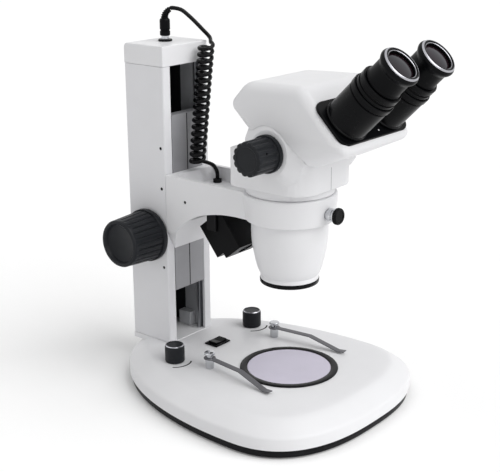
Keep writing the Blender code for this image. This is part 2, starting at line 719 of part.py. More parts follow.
def make_dimmers():
    """Two brightness knobs on their potentiometers."""
    inside = BASE_TOP - BASE_WALL - SEAT_GAP
    shaft_top = BASE_TOP + POT_SHAFT_LENGTH
    low = BASE_TOP + RUN_GAP
    top = low + DIMMER_HEIGHT
    bore = POT_SHAFT_RADIUS + SEAT_GAP
    for side, sign in mirrored_sides():
        place = Matrix.Translation((sign * DIMMER_X, DIMMER_Y, 0.0))
        turned(side + "_dimmer_pot", ((0.0, shaft_top), (POT_SHAFT_RADIUS, shaft_top),
                                      (POT_SHAFT_RADIUS, BASE_TOP), (POT_BUSH_RADIUS, BASE_TOP),
                                      (POT_BUSH_RADIUS, inside), (POT_BODY_RADIUS, inside),
                                      (POT_BODY_RADIUS, inside - POT_BODY_DEPTH),
                                      (0.0, inside - POT_BODY_DEPTH)), STEEL, place, SMALL_STEPS)
        knob = turned(side + "_dimmer_knob", ((0.0, top), (DIMMER_RADIUS - DIMMER_EDGE, top),
                                              (DIMMER_RADIUS, top - 1.5 * DIMMER_EDGE),
                                              (DIMMER_RADIUS, low), (bore, low), (bore, shaft_top + SEAT_GAP),
                                              (0.0, shaft_top + SEAT_GAP)), BLACK_PLASTIC, place)
        carry(axis(side + "_dimmer_axis", place), knob)


def make_switch():
    """Mains rocker switch set in the base."""
    bezel_low = BASE_TOP + SEAT_GAP
    bezel_top = bezel_low + SWITCH_BEZEL
    length, width = SWITCH_LENGTH / 2, SWITCH_WIDTH / 2
    frame = block("switch_frame", (SWITCH_X - length, SWITCH_Y - width, bezel_low),
                  (SWITCH_X + length, SWITCH_Y + width, bezel_top), BLACK_PLASTIC)
    inner, inner_width = length - SWITCH_FLANGE, width - SWITCH_FLANGE
    body = block("switch_body", (SWITCH_X - inner, SWITCH_Y - inner_width, BASE_TOP - SWITCH_BODY_DEPTH),
                 (SWITCH_X + inner, SWITCH_Y + inner_width, bezel_low + SWITCH_BEZEL / 2))
    half = SWITCH_LENGTH / 2 - SWITCH_RIM
    half_width = SWITCH_WIDTH / 2 - SWITCH_RIM
    room = half + RUN_GAP
    side_room = half_width + RUN_GAP
    floor = bezel_top - ROCKER_DEPTH - 4 * RUN_GAP
    pocket = block("switch_pocket", (SWITCH_X - room, SWITCH_Y - side_room, floor),
                   (SWITCH_X + room, SWITCH_Y + side_room, bezel_top + ROCKER_RISE))
    fuse(frame, body)
    cut(frame, pocket)
    outline = ((-half, 0.0), (-half * 0.6, -ROCKER_DEPTH), (half * 0.6, -ROCKER_DEPTH), (half, 0.0),
               (half, ROCKER_RISE), (0.0, ROCKER_RISE * 0.35), (-half, ROCKER_RISE))
    pivot = Matrix.Translation((SWITCH_X, SWITCH_Y, bezel_top))
    rocker = slab("switch_rocker", outline, -half_width, half_width, BLACK_PLASTIC,
                  pivot @ Matrix.Rotation(math.pi / 2, 4, 'X'))
    carry(axis("switch_axis", pivot), rocker)


def make_column():
    """Column, its cap, the slide rails and the power inlet."""
    half, slot = COLUMN_WIDTH / 2, SLOT_HALF_WIDTH
    front, back = COLUMN_FRONT_Y, COLUMN_BACK_Y
    lip, wall = front + SLOT_LIP, back - COLUMN_BACK_WALL
    corner = COLUMN_CORNER
    room = CAVITY_HALF_WIDTH
    column = slab("column", rounded((
        (-half, front, corner), (-slot, front, 0), (-slot, lip, 0), (-room, lip, 0), (-room, wall, 0),
        (room, wall, 0), (room, lip, 0), (slot, lip, 0), (slot, front, 0), (half, front, corner),
        (half, back, corner), (-half, back, corner)), 3), COLUMN_BOTTOM_Z, COLUMN_TOP_Z, WHITE_PAINT)
    cut(column, rod("focus_shaft_hole", FOCUS_SHAFT_RADIUS + SEAT_GAP, -half - corner, half + corner,
                    place=Matrix.Translation((0.0, FOCUS_Y, FOCUS_Z)) @ ALONG_X))
    inner, outer = CARRIAGE_HALF_WIDTH - RAIL_BITE, room - SEAT_GAP
    for side, sign in mirrored_sides():
        for number, rise in enumerate(GIB_HOLE_RISES, 1):
            spot = (sign * half, RAIL_Y + RAIL_THICKNESS / 2, COLUMN_BOTTOM_Z + rise)
            cut(column, rod(f"{side}_gib_hole_{number}", GIB_HOLE_RADIUS, -GIB_HOLE_DEPTH, GIB_HOLE_DEPTH,
                            place=Matrix.Translation(spot) @ ALONG_X, steps=TINY_STEPS))
        near, far = sorted((sign * inner, sign * outer))
        block(side + "_slide_rail", (near, RAIL_Y, COLUMN_BOTTOM_Z + SEAT_GAP),
              (far, RAIL_Y + RAIL_THICKNESS, COLUMN_TOP_Z - SEAT_GAP), STEEL)
    stop_low = COLUMN_BOTTOM_Z + SEAT_GAP
    block("slide_stop", (outer - STOP_WIDTH, RAIL_Y + STOP_SET_BACK, stop_low),
          (outer, RAIL_Y + STOP_SET_BACK + STOP_DEPTH, stop_low + STOP_HEIGHT), CAST_GREY)
    make_inlet(column)
    cap = block("column_cap", (-half, front, CAP_BOTTOM_Z), (half, back, CAP_TOP_Z), WHITE_PAINT)
    round_top(cap, CAP_ROUND)
    cut(cap, block("cap_hollow", (-half + CAP_WALL, front + CAP_WALL, CAP_BOTTOM_Z - CAP_WALL),
                   (half - CAP_WALL, back - CAP_WALL, CAP_TOP_Z - CAP_WALL)))
    cut(cap, rod("socket_hole", SOCKET_BORE + SEAT_GAP, CAP_BOTTOM_Z, CAP_TOP_Z + CAP_WALL,
                 place=Matrix.Translation((0.0, COLUMN_MID_Y, 0.0))))
    low = CAP_TOP_Z + SEAT_GAP
    top = low + SOCKET_HEIGHT
    turned("socket_ring", ((SOCKET_BORE, top), (SOCKET_RADIUS - EDGE, top), (SOCKET_RADIUS, top - EDGE),
                           (SOCKET_RADIUS, low), (SOCKET_BORE, low)),
           BLACK_METAL, Matrix.Translation((0.0, COLUMN_MID_Y, 0.0)), SMALL_STEPS, ring=True)


def round_top(item, width):
    """Rounds the upper and upright edges of a box and keeps its lower edges sharp."""
    bm = bmesh.new()
    bm.from_mesh(item.data)
    floor = min(vert.co.z for vert in bm.verts)
    edges = [edge for edge in bm.edges if max(vert.co.z for vert in edge.verts) > floor + width]
    bmesh.ops.bevel(bm, geom=edges, offset=width, offset_type='OFFSET', segments=3, profile=0.5,
                    affect='EDGES', material=-1)
    bm.to_mesh(item.data)
    bm.free()


def make_inlet(column):
    """Power inlet in the column's back wall."""
    half, height = INLET_BODY_WIDTH / 2, INLET_BODY_HEIGHT / 2
    front = COLUMN_BACK_Y + SEAT_GAP
    deep, behind = front - INLET_BODY_DEPTH, COLUMN_BACK_Y + INLET_BODY_DEPTH
    inlet = block("power_inlet", (-INLET_WIDTH / 2, front, INLET_Z - INLET_HEIGHT / 2),
                  (INLET_WIDTH / 2, front + INLET_FLANGE, INLET_Z + INLET_HEIGHT / 2), BLACK_PLASTIC)
    fuse(inlet, block("inlet_body", (-half, deep, INLET_Z - height),
                      (half, front + INLET_FLANGE / 2, INLET_Z + height)))
    mouth, rise = half - INLET_WALL, height - INLET_WALL
    cut(inlet, block("inlet_mouth", (-mouth, deep + INLET_WALL, INLET_Z - rise),
                     (mouth, behind, INLET_Z + rise)))
    hole, rise = half + SEAT_GAP, height + SEAT_GAP
    cut(column, block("inlet_hole", (-hole, COLUMN_BACK_Y - INLET_BODY_DEPTH, INLET_Z - rise),
                      (hole, behind, INLET_Z + rise)))


def make_carriage(holder):
    """Carriage plate on the rails, with its rack."""
    half = CARRIAGE_HALF_WIDTH
    groove = half - RAIL_BITE - RUN_GAP
    near, far = RAIL_Y - RUN_GAP, RAIL_Y + RAIL_THICKNESS + RUN_GAP
    seam = CARRIAGE_SEAM / 2
    front, back = CARRIAGE_FRONT_Y, CARRIAGE_BACK_Y
    right = ((seam, front), (half, front), (half, near), (groove, near), (groove, far), (half, far),
             (half, back))
    left = [(-x, y) for x, y in reversed(right)]
    outline = list(right) + left + [(0.0, front + CARRIAGE_SEAM)]
    top = CARRIAGE_BOTTOM_Z + CARRIAGE_HEIGHT
    carriage = slab("carriage", outline, CARRIAGE_BOTTOM_Z, top, CAST_GREY)
    pitch = math.pi * TOOTH_MODULE
    count = int(CARRIAGE_HEIGHT / pitch)
    teeth_below = int((FOCUS_Z - CARRIAGE_BOTTOM_Z) / pitch)
    tip, root = TOOTH_MODULE, -TOOTH_ROOT
    outline = []
    for number in range(count - 1):
        middle = FOCUS_Z + (number - teeth_below + 0.5) * pitch
        for side, height in ((-1, root), (-1, tip), (1, tip), (1, root)):
            outline.append((RACK_PITCH_Y + height, middle + side * tooth_half(height)))
    back = CARRIAGE_BACK_Y + SEAT_GAP
    outline += [(back, outline[-1][1]), (back, outline[0][1])]
    rack = slab("rack", outline, -RACK_WIDTH / 2, RACK_WIDTH / 2, STEEL, SIDEWAYS)
    carry(holder, carriage, rack)


def tooth_half(height):
    """Half the thickness of a tooth at a height above its pitch line."""
    return TOOTH_HALF_AT_PITCH - height * TOOTH_FLANK


def make_focus_drive(holder):
    """Focus shaft with its pinion, and the two focus knobs."""
    place = Matrix.Translation((0.0, FOCUS_Y, FOCUS_Z)) @ ALONG_X
    reach = FOCUS_KNOB_X + FOCUS_KNOB_GRIP_DEPTH - SEAT_GAP
    shaft = rod("focus_shaft", FOCUS_SHAFT_RADIUS, -reach, reach, STEEL, place)
    outline = []
    for number in range(PINION_TEETH):
        middle = 2 * math.pi * number / PINION_TEETH
        for side, height in ((-1, -TOOTH_ROOT), (-1, TOOTH_MODULE), (1, TOOTH_MODULE), (1, -TOOTH_ROOT)):
            radius = PITCH_RADIUS + height
            turn = middle + side * tooth_half(height) / radius
            outline.append((radius * math.cos(turn), radius * math.sin(turn)))
    aim = Matrix.Translation((0.0, FOCUS_Y, FOCUS_Z)) @ SIDEWAYS
    fuse(shaft, slab("pinion", outline, -PINION_WIDTH / 2, PINION_WIDTH / 2, None, aim))
    carry(holder, shaft)
    bore = FOCUS_SHAFT_RADIUS + SEAT_GAP
    rim, face, dish = FOCUS_KNOB_RIM_RADIUS, FOCUS_KNOB_FACE_RADIUS, FOCUS_KNOB_DISH_RADIUS
    end, edge, deep = FOCUS_KNOB_LENGTH, FOCUS_KNOB_EDGE, FOCUS_KNOB_LENGTH - FOCUS_KNOB_DISH
    profile = ((0.0, deep), (dish - FOCUS_KNOB_DISH / 2, deep), (dish, end), (face - edge, end),
               (face, end - edge), (rim - EDGE, FOCUS_KNOB_RIM_WIDTH + EDGE), (rim, FOCUS_KNOB_RIM_WIDTH),
               (rim, edge), (rim - edge, 0.0), (bore, 0.0), (bore, FOCUS_KNOB_GRIP_DEPTH),
               (0.0, FOCUS_KNOB_GRIP_DEPTH))
    for side, sign in mirrored_sides():
        where = (Matrix.Translation((sign * FOCUS_KNOB_X, FOCUS_Y, FOCUS_Z))
                 @ Matrix.Rotation(sign * math.pi / 2, 4, 'Y'))
        carry(holder, turned(side + "_focus_knob", profile, BLACK_PLASTIC, where))


def make_arm(holder):
    """Arm casting from the carriage to the head's ring, with its hollow top and lamp bay."""
    half, back = ARM_HALF_WIDTH, ARM_BACK_Y
    under = [(back - reach, RING_LOW_Z - drop) for reach, drop in ARM_ARCH]
    outline = [(0.0, RING_LOW_Z)] + under + [(back, ARM_FOOT_Z), (back, ARM_TOP_Z), (0.0, ARM_TOP_Z)]
    arm = slab("arm", outline, -half, half, WHITE_PAINT, SIDEWAYS)
    drop = ARM_SHOULDER_Z - ARM_FOOT_Z
    spread = half - SLOT_HALF_WIDTH
    for side, sign in mirrored_sides():
        wedge = [(sign * half, ARM_SHOULDER_Z), (sign * (half + spread), ARM_SHOULDER_Z),
                 (sign * (half + spread), ARM_FOOT_Z - drop), (sign * (half - 2 * spread), ARM_FOOT_Z - drop)]
        cut(arm, slab(side + "_arm_chamfer", wedge, -2 * back, 0.0, None,
                      Matrix.Rotation(math.pi / 2, 4, 'X')))
    rim, low_rim, bevel = RING_TOP_RADIUS, RING_LOW_RADIUS, RING_BEVEL
    fuse(arm, turned("arm_ring", ((0.0, ARM_TOP_Z), (rim - bevel, ARM_TOP_Z), (rim, ARM_TOP_Z - bevel),
                                  (rim, ARM_TOP_Z - 6 * bevel), (low_rim + bevel, RING_LOW_Z + bevel),
                                  (low_rim, RING_LOW_Z), (0.0, RING_LOW_Z)), steps=FINE_STEPS))
    inside = half - ARM_WALL
    cut(arm, block("arm_hollow", (-inside, RING_BORE + HOLLOW_WEB, ARM_FLOOR_TOP_Z),
                   (inside, back - ARM_BACK_WALL, ARM_TOP_Z + half)))
    cut(arm, block("lamp_bay", (-inside, RING_BORE + RING_WEB, ARM_FOOT_Z - half),
                   (inside, LAMP_BAY_BACK, LAMP_BAY_TOP_Z)))
    cut(arm, rod("ring_bore", RING_BORE, RING_LOW_Z - half, ARM_TOP_Z + half, steps=FINE_STEPS))
    cut(arm, rod("clamp_hole", CLAMP_RADIUS + SEAT_GAP, 0.0, 2 * rim, place=CLAMP))
    for side, sign in mirrored_sides():
        spot = Matrix.Translation((sign * half, back - ARM_HOLE_BACK, ARM_TOP_Z - ARM_HOLE_DROP)) @ ALONG_X
        cut(arm, rod(side + "_arm_hole", ARM_HOLE_RADIUS, -ARM_HOLE_DEPTH, ARM_HOLE_DEPTH, place=spot,
                     steps=TINY_STEPS))
    grommet_low = ARM_FLOOR_TOP_Z + SEAT_GAP
    grommet = rod("cord_grommet", GROMMET_RADIUS, grommet_low, grommet_low + GROMMET_HEIGHT, RUBBER,
                  Matrix.Translation((GROMMET_X, GROMMET_Y, 0.0)))
    carry(holder, arm, grommet)


def make_clamp():
    """Knurled screw that holds the head in the ring."""
    tip = BARREL_RADIUS + CLAMP_TIP_GAP
    neck = RING_TOP_RADIUS + CLAMP_SHANK
    end, rim = neck + CLAMP_HEAD_LENGTH, CLAMP_HEAD_RADIUS
    screw = turned("clamp_screw", ((0.0, end), (rim - EDGE, end), (rim, end - EDGE), (rim, neck),
                                   (CLAMP_RADIUS, neck), (CLAMP_RADIUS, tip), (0.0, tip)),
                   BLACK_METAL, CLAMP, SMALL_STEPS)
    carry(axis("clamp_axis", CLAMP), screw)


def make_lamp(arm_holder):
    """Incident lamp that tilts on a pin in a yoke under the arm."""
    pivot = Matrix.Translation((0.0, LAMP_Y, LAMP_Z))
    tilt = pivot @ Matrix.Rotation(LAMP_PITCH - math.pi / 2, 4, 'X')
    width, face = LAMP_HALF_WIDTH, -LAMP_BELOW - LAMP_NOSE
    case = block("lamp_case", (-width, -LAMP_FRONT, -LAMP_BELOW), (width, LAMP_BACK, LAMP_ABOVE),
                 BLACK_PLASTIC, tilt)
    near, far = -LAMP_FRONT, LAMP_BACK - LAMP_NOSE_BACK - LAMP_NOSE
    fuse(case, block("lamp_nose", (-width, near, face), (width, far, 0.0), place=tilt))
    optic = tilt @ Matrix.Translation((0.0, (near + far) / 2, 0.0))
    cut(case, rod("lamp_mouth", LAMP_LENS_RADIUS + SEAT_GAP, face - LAMP_NOSE, -LAMP_ABOVE, place=optic,
                  steps=PLAIN_STEPS))
    cut(case, rod("lamp_pin_hole", LAMP_PIN_RADIUS + SEAT_GAP, -2 * width, 2 * width, place=tilt @ ALONG_X,
                  steps=TINY_STEPS))
    lens_low = face + LAMP_LENS_THICKNESS / 2
    lens = rod("lamp_lens", LAMP_LENS_RADIUS, lens_low, lens_low + LAMP_LENS_THICKNESS, GLASS, optic)
    carry(axis("lamp_axis", pivot), case, lens)
    inner = width + RUN_GAP
    outer = inner + YOKE_THICKNESS
    top = LAMP_BAY_TOP_Z - SEAT_GAP
    yoke = block("lamp_yoke", (-outer, LAMP_Y - YOKE_WIDTH / 2, LAMP_Z - YOKE_BELOW_PIN),
                 (outer, LAMP_Y + YOKE_WIDTH / 2, top), DARK_STEEL)
    cut(yoke, block("yoke_gap", (-inner, LAMP_Y - YOKE_WIDTH, LAMP_Z - 2 * YOKE_BELOW_PIN),
                    (inner, LAMP_Y + YOKE_WIDTH, top - YOKE_THICKNESS)))
    fuse(yoke, rod("lamp_pin", LAMP_PIN_RADIUS, -outer, outer, place=pivot @ ALONG_X, steps=TINY_STEPS))
    carry(arm_holder, yoke)


def make_objective(holder):
    """Objective barrel with its black ring and lens."""
    low, top = BARREL_LOW_Z, BARREL_TOP_Z
    taper = [(BARREL_RADIUS - inset, low + height) for inset, height in BARREL_TAPER]
    window = LENS_WINDOW_RADIUS
    bore_low = low + BARREL_TAPER[0][1]
    foot, collar = BARREL_FOOT_RADIUS, BARREL_RADIUS + BARREL_COLLAR_PROUD
    barrel = turned("objective_barrel", [(BARREL_BORE, top), (collar - EDGE, top),
                                         (collar, top - EDGE), (collar, COLLAR_LOW_Z),
                                         (BARREL_RADIUS, COLLAR_LOW_Z)] + taper
                    + [(foot, low), (window, low), (window, low + LENS_SEAT), (BARREL_BORE, bore_low)],
                    WHITE_PAINT, steps=FINE_STEPS, ring=True)
    ring_top = low - SEAT_GAP
    ring_low = ring_top - OBJECTIVE_RING_HEIGHT
    lip, rim = window - OBJECTIVE_RING_LIP, foot + OBJECTIVE_RING_PROUD
    ring = turned("objective_ring", ((lip, ring_top), (rim, ring_top), (rim, ring_low + EDGE),
                                     (rim - EDGE, ring_low), (lip, ring_low)),
                  BLACK_METAL, steps=FINE_STEPS, ring=True)
    lens = rod("objective_lens", window - SEAT_GAP, low, low + LENS_THICKNESS, GLASS)
    carry(holder, barrel, ring, lens)


def zoom_outline(grow=0.0):
    """Plan of the zoom body, grown by a clearance."""
    half = ZOOM_HALF_WIDTH + grow
    front, back = ZOOM_FRONT_Y - grow, ZOOM_BACK_Y + grow
    return rounded(((-half, front, ZOOM_FRONT_CORNER + grow), (half, front, ZOOM_FRONT_CORNER + grow),
                    (half, back, ZOOM_BACK_CORNER + grow), (-half, back, ZOOM_BACK_CORNER + grow)), 6)


def zoom_boss(name, grow=0.0):
    """Cross barrel that carries the zoom shaft, with a coned boss on each side."""
    face, root = BOSS_FACE_X + grow, ZOOM_HALF_WIDTH - BOSS_REACH / 6
    profile = ((0.0, face), (BOSS_FACE_RADIUS + grow, face), (BOSS_ROOT_RADIUS + grow, root),
               (BOSS_ROOT_RADIUS + grow, -root), (BOSS_FACE_RADIUS + grow, -face), (0.0, -face))
    return turned(name, profile, None, Matrix.Translation((0.0, ZOOM_SHAFT_Y, ZOOM_SHAFT_Z)) @ ALONG_X)


def make_zoom_body(holder):
    """Body between barrel and head, hollow, with the cross bore of the zoom shaft."""
    body = slab("zoom_body", zoom_outline(), ZOOM_LOW_Z, ZOOM_TOP_Z, WHITE_PAINT)
    fuse(body, zoom_boss("zoom_boss"))
    cut(body, slab("zoom_hollow", zoom_outline(-ZOOM_WALL), ZOOM_LOW_Z + ZOOM_WALL, ZOOM_TOP_Z - ZOOM_WALL))
    across = Matrix.Translation((0.0, ZOOM_SHAFT_Y, ZOOM_SHAFT_Z)) @ ALONG_X
    room, hole, reach = DRUM_RADIUS + DRUM_ROOM, ZOOM_SHAFT_RADIUS + SEAT_GAP, 2 * BOSS_FACE_X
    half = ZOOM_HALF_WIDTH
    cut(body, turned("drum_room", ((0.0, reach), (hole, reach), (hole, half), (room, half), (room, -half),
                                   (hole, -half), (hole, -reach), (0.0, -reach)), None, across))
    cut(body, rod("light_hole", BARREL_BORE - ZOOM_WALL, ZOOM_LOW_Z - ZOOM_WALL, ZOOM_LOW_Z + 2 * ZOOM_WALL))
    carry(holder, body)


def make_zoom_drive(holder, carrier_holder):
    """Zoom shaft with its cam drum and knobs, and the lens carrier that it moves."""
    across = Matrix.Translation((0.0, ZOOM_SHAFT_Y, ZOOM_SHAFT_Z)) @ ALONG_X
    knob_start = BOSS_FACE_X + RUN_GAP
    reach = knob_start + ZOOM_KNOB_GRIP_DEPTH - SEAT_GAP
    half = DRUM_LENGTH / 2
    shaft = turned("zoom_shaft", ((0.0, reach), (ZOOM_SHAFT_RADIUS, reach), (ZOOM_SHAFT_RADIUS, half),
                                  (DRUM_RADIUS, half), (DRUM_RADIUS, -half), (ZOOM_SHAFT_RADIUS, -half),
                                  (ZOOM_SHAFT_RADIUS, -reach), (0.0, -reach)), BRASS, across, SMALL_STEPS)
    carry(holder, shaft)
    bore = ZOOM_SHAFT_RADIUS + SEAT_GAP
    end, grip = ZOOM_KNOB_LENGTH, ZOOM_KNOB_GRIP_DEPTH
    profile = ((0.0, end), (ZOOM_KNOB_RADIUS - 1.5 * EDGE, end), (ZOOM_KNOB_RADIUS, end - 1.5 * EDGE),
               (ZOOM_KNOB_RADIUS, ZOOM_KNOB_RIM_WIDTH), (ZOOM_KNOB_RIM_RADIUS, ZOOM_KNOB_RIM_WIDTH),
               (ZOOM_KNOB_RIM_RADIUS, 0.0), (bore, 0.0), (bore, grip), (0.0, grip))
    for side, sign in mirrored_sides():
        where = (Matrix.Translation((sign * knob_start, ZOOM_SHAFT_Y, ZOOM_SHAFT_Z))
                 @ Matrix.Rotation(sign * math.pi / 2, 4, 'Y'))
        carry(holder, turned(side + "_zoom_knob", profile, BLACK_PLASTIC, where))
    carrier = slab("zoom_carrier", zoom_outline(-ZOOM_WALL - RUN_GAP), CARRIER_Z,
                   CARRIER_Z + CARRIER_THICKNESS, BLACK_METAL)
    for side, sign in mirrored_sides():
        cut(carrier, rod(side + "_carrier_hole", CARRIER_LENS_RADIUS, ZOOM_LOW_Z, ZOOM_TOP_Z,
                         place=Matrix.Translation((sign * CARRIER_LENS_X, 0.0, 0.0))))
    carry(carrier_holder, carrier)


def head_corners():
    """Corners of the head's side outline as (y, z, radius): the slanted face's two, then the rest."""
    corners = []
    for along, radius in zip((FACE_HIGH, -FACE_LOW), FACE_CORNERS[::-1]):
        point = FACE @ Vector((0.0, along, -PLATE_PROUD))
        corners.append((point.y, point.z, radius))
    return corners + [(y, ZOOM_LOW_Z + rise, radius) for y, rise, radius in HEAD_PROFILE]


def head_outline(inset):
    """Side outline of the head, moved inwards by an inset."""
    corners = head_corners()
    count = len(corners)
    moved = []
    for i, (y, z, radius) in enumerate(corners):
        corner = Vector((y, z))
        before = (corner - Vector(corners[i - 1][:2])).normalized()
        after = (Vector(corners[(i + 1) % count][:2]) - corner).normalized()
        inward = Vector((-before.y, before.x)) + Vector((-after.y, after.x))
        moved.append((*(corner + inward * inset / (1 + before.dot(after))), max(radius - inset, radius / 2)))
    return rounded(moved)


def head_half_width(y, z):
    """Half width of the head: widest at the face, narrower at the back and under the belly."""
    places = [corner[0] for corner in head_corners()]
    share = (y - min(places)) / (max(places) - min(places))
    width = HEAD_HALF_WIDTH + (HEAD_BACK_HALF_WIDTH - HEAD_HALF_WIDTH) * share
    under = max(0.0, 1 - (z - ZOOM_LOW_Z - HEAD_PROFILE[0][1]) / HEAD_BELLY_RISE)
    return width * (1 - HEAD_BELLY_TUCK * under * under)


def head_block(name, inset=0.0, look=None):
    """Slanted head casting with rounded sides, shrunk by an inset."""
    edge = HEAD_EDGE - inset
    rings = []
    for side in (-1, 1):
        for k in range(HEAD_EDGE_STEPS + 1):
            turn = math.pi / 2 * (k if side < 0 else HEAD_EDGE_STEPS - k) / HEAD_EDGE_STEPS
            rings.append((side, inset + edge * (1 - math.sin(turn)), inset + edge * (1 - math.cos(turn))))
    sections = [(head_outline(depth), side) for side, depth, narrow in rings]
    item = lofted(name, sections, look, SIDEWAYS)
    count = len(sections[0][0])
    for vert in item.data.vertices:
        side, depth, narrow = rings[vert.index // count]
        vert.co.z = side * (head_half_width(vert.co.x, vert.co.y) - narrow)
    bm = bmesh.new()
    bm.from_mesh(item.data)
    bmesh.ops.triangulate(bm, faces=bm.faces)
    bm.to_mesh(item.data)
    bm.free()
    return item


def plate_outline(grow=0.0):
    """Outline of the black face plate on the slope."""
    return rounded(((-PLATE_HALF_WIDTH - grow, -PLATE_LOW - grow, PLATE_CORNER + grow),
                    (PLATE_HALF_WIDTH + grow, -PLATE_LOW - grow, PLATE_CORNER + grow),
                    (PLATE_HALF_WIDTH + grow, PLATE_HIGH + grow, PLATE_CORNER + grow),
                    (-PLATE_HALF_WIDTH - grow, PLATE_HIGH + grow, PLATE_CORNER + grow)))


def make_head(holder):
    """Head casting with its face plate."""
    head = head_block("head_shell", 0.0, WHITE_PAINT)
    cut(head, head_block("head_hollow", HEAD_WALL))
    cut(head, slab("zoom_room", zoom_outline(SEAT_GAP), ZOOM_LOW_Z, ZOOM_TOP_Z + SEAT_GAP))
    cut(head, zoom_boss("boss_room", SEAT_GAP))
    floor = -PLATE_THICKNESS - SEAT_GAP
    cut(head, slab("plate_pocket", plate_outline(SEAT_GAP), floor, PLATE_THICKNESS, None, FACE))
    deep = 4 * PLATE_THICKNESS
    cut(head, slab("face_window", plate_outline(-PLATE_LEDGE), -deep, PLATE_THICKNESS, None, FACE))
    plate = slab("face_plate", plate_outline(), -PLATE_THICKNESS, 0.0, BLACK_PLASTIC, FACE)
    swing = 2 * SWING_OFFSET * math.sin(SWING_LIMIT / 2)
    for side, sign in mirrored_sides():
        cut(plate, rod(side + "_tube_hole", STUB_RADIUS + swing + RUN_GAP, -deep, deep,
                       place=FACE @ Matrix.Translation((sign * TUBE_X, 0.0, 0.0))))
    carry(holder, head, plate)


def make_tube(side, sign):
    """One eyepiece tube with its prism, diopter ring, eyepiece and eye lens."""
    place = FACE @ Matrix.Translation((sign * TUBE_X, 0.0, 0.0))
    holder = axis(side + "_tube_axis", FACE @ Matrix.Translation((sign * TUBE_X, -SWING_OFFSET, 0.0)))
    end, ring_low = TUBE_LENGTH, TUBE_LENGTH - TUBE_RING_WIDTH
    rim, neck = TUBE_RING_RADIUS, TUBE_RADIUS - TUBE_GROOVE
    tube = turned(side + "_tube", ((TUBE_BORE, end), (rim - EDGE, end), (rim, end - EDGE), (rim, ring_low),
                                   (neck, ring_low), (neck, ring_low - TUBE_GROOVE),
                                   (TUBE_RADIUS, ring_low - TUBE_GROOVE), (TUBE_RADIUS, RUN_GAP),
                                   (STUB_RADIUS, RUN_GAP), (STUB_RADIUS, -STUB_LENGTH),
                                   (STUB_BORE, -STUB_LENGTH), (STUB_BORE, STUB_LENGTH),
                                   (TUBE_BORE, STUB_LENGTH)),
                  BLACK_METAL, place, ring=True)
    deep, half = -STUB_LENGTH - SEAT_GAP, PRISM_SIZE / 2
    prism = block(side + "_prism", (-half, -half, deep - PRISM_SIZE), (half, half, deep), GLASS, place)
    low = TUBE_LENGTH + SEAT_GAP
    high, mid = low + DIOPTER_WIDTH, low + DIOPTER_WIDTH / 2
    bore, rim, neck = TUBE_BORE, DIOPTER_RADIUS, DIOPTER_RADIUS - DIOPTER_GROOVE
    groove_low = mid - 2 * DIOPTER_GROOVE
    diopter = turned(side + "_diopter_ring", ((bore, high), (rim - EDGE, high), (rim, high - EDGE),
                                              (rim, mid), (neck, mid), (neck, groove_low), (rim, groove_low),
                                              (rim, low), (bore, low)), BLACK_PLASTIC, place, ring=True)
    start = high + SEAT_GAP
    rim_low = start + EYEPIECE_BODY
    top = rim_low + EYEPIECE_RIM
    seat, bottom = top - EYE_LENS_SEAT, start - EYEPIECE_BARREL_LENGTH
    lens_room, barrel = EYE_LENS_RADIUS + SEAT_GAP, EYEPIECE_BARREL_RADIUS
    shoulder = EYEPIECE_SHOULDER_RADIUS
    eyepiece = turned(side + "_eyepiece", ((lens_room, top - EDGE), (EYEPIECE_TOP_RADIUS - EDGE, top),
                                           (EYEPIECE_TOP_RADIUS, top - EDGE / 2),
                                           (EYEPIECE_RIM_RADIUS, rim_low + 0.4 * EYEPIECE_RIM),
                                           (EYEPIECE_RADIUS, rim_low), (EYEPIECE_RADIUS, start + 4 * EDGE),
                                           (shoulder, start + 2 * EDGE), (shoulder, start), (barrel, start),
                                           (barrel, bottom), (EYEPIECE_BORE, bottom), (EYEPIECE_BORE, seat),
                                           (lens_room, seat)), BLACK_PLASTIC, place, ring=True)
    low, deep, edge = seat + SEAT_GAP, EYE_LENS_THICKNESS, EYE_LENS_RADIUS
    lens = turned(side + "_eye_lens", ((0.0, low + deep), (edge * 0.6, low + deep * 0.85),
                                       (edge, low + deep * 0.4), (edge, low), (0.0, low)), GLASS, place)
    carry(holder, tube, prism, eyepiece, lens)
    carry(axis(side + "_diopter_axis", place), diopter)
    return holder


def helix_points():
    """Centre line of the curls, along a gently bowed line."""
    top, middle, bottom = Vector(COIL_TOP), Vector(COIL_MIDDLE), Vector(COIL_BOTTOM)
    bow = 2 * middle - (top + bottom) / 2
    steps = CURL_COUNT * POINTS_PER_CURL
    points = []
    for i in range(steps + 1):
        t = i / steps
        centre = (1 - t) ** 2 * top + 2 * t * (1 - t) * bow + t * t * bottom
        turn = 2 * math.pi * CURL_COUNT * t
        points.append(centre + CURL_RADIUS * Vector((math.cos(turn), -math.sin(turn), 0.0)))
    return points


def smooth_route(points, spacing):
    """Points along a smooth curve through a route's own points."""
    path = []
    for i in range(len(points) - 1):
        a, b = points[i], points[i + 1]
        before = points[i - 1] if i else a + (a - b)
        after = points[i + 2] if i + 2 < len(points) else b + (b - a)
        count = max(1, round((b - a).length / spacing))
        for k in range(count):
            t = k / count
            path.append(0.5 * (2 * a + (b - before) * t + (2 * before - 5 * a + 4 * b - after) * t * t
                               + (3 * a - before - 3 * b + after) * t ** 3))
    path.append(points[-1])
    return path


def least_gap(points, diameter):
    """Least space between stretches of a tube that are not neighbours along it."""
    travelled = [0.0]
    for a, b in zip(points, points[1:]):
        travelled.append(travelled[-1] + (b - a).length)
    least = 1.0
    for i, a in enumerate(points):
        for j in range(i + 1, len(points)):
            if travelled[j] - travelled[i] > 3 * diameter:
                least = min(least, (points[j] - a).length - diameter)
    return least, travelled[-1]


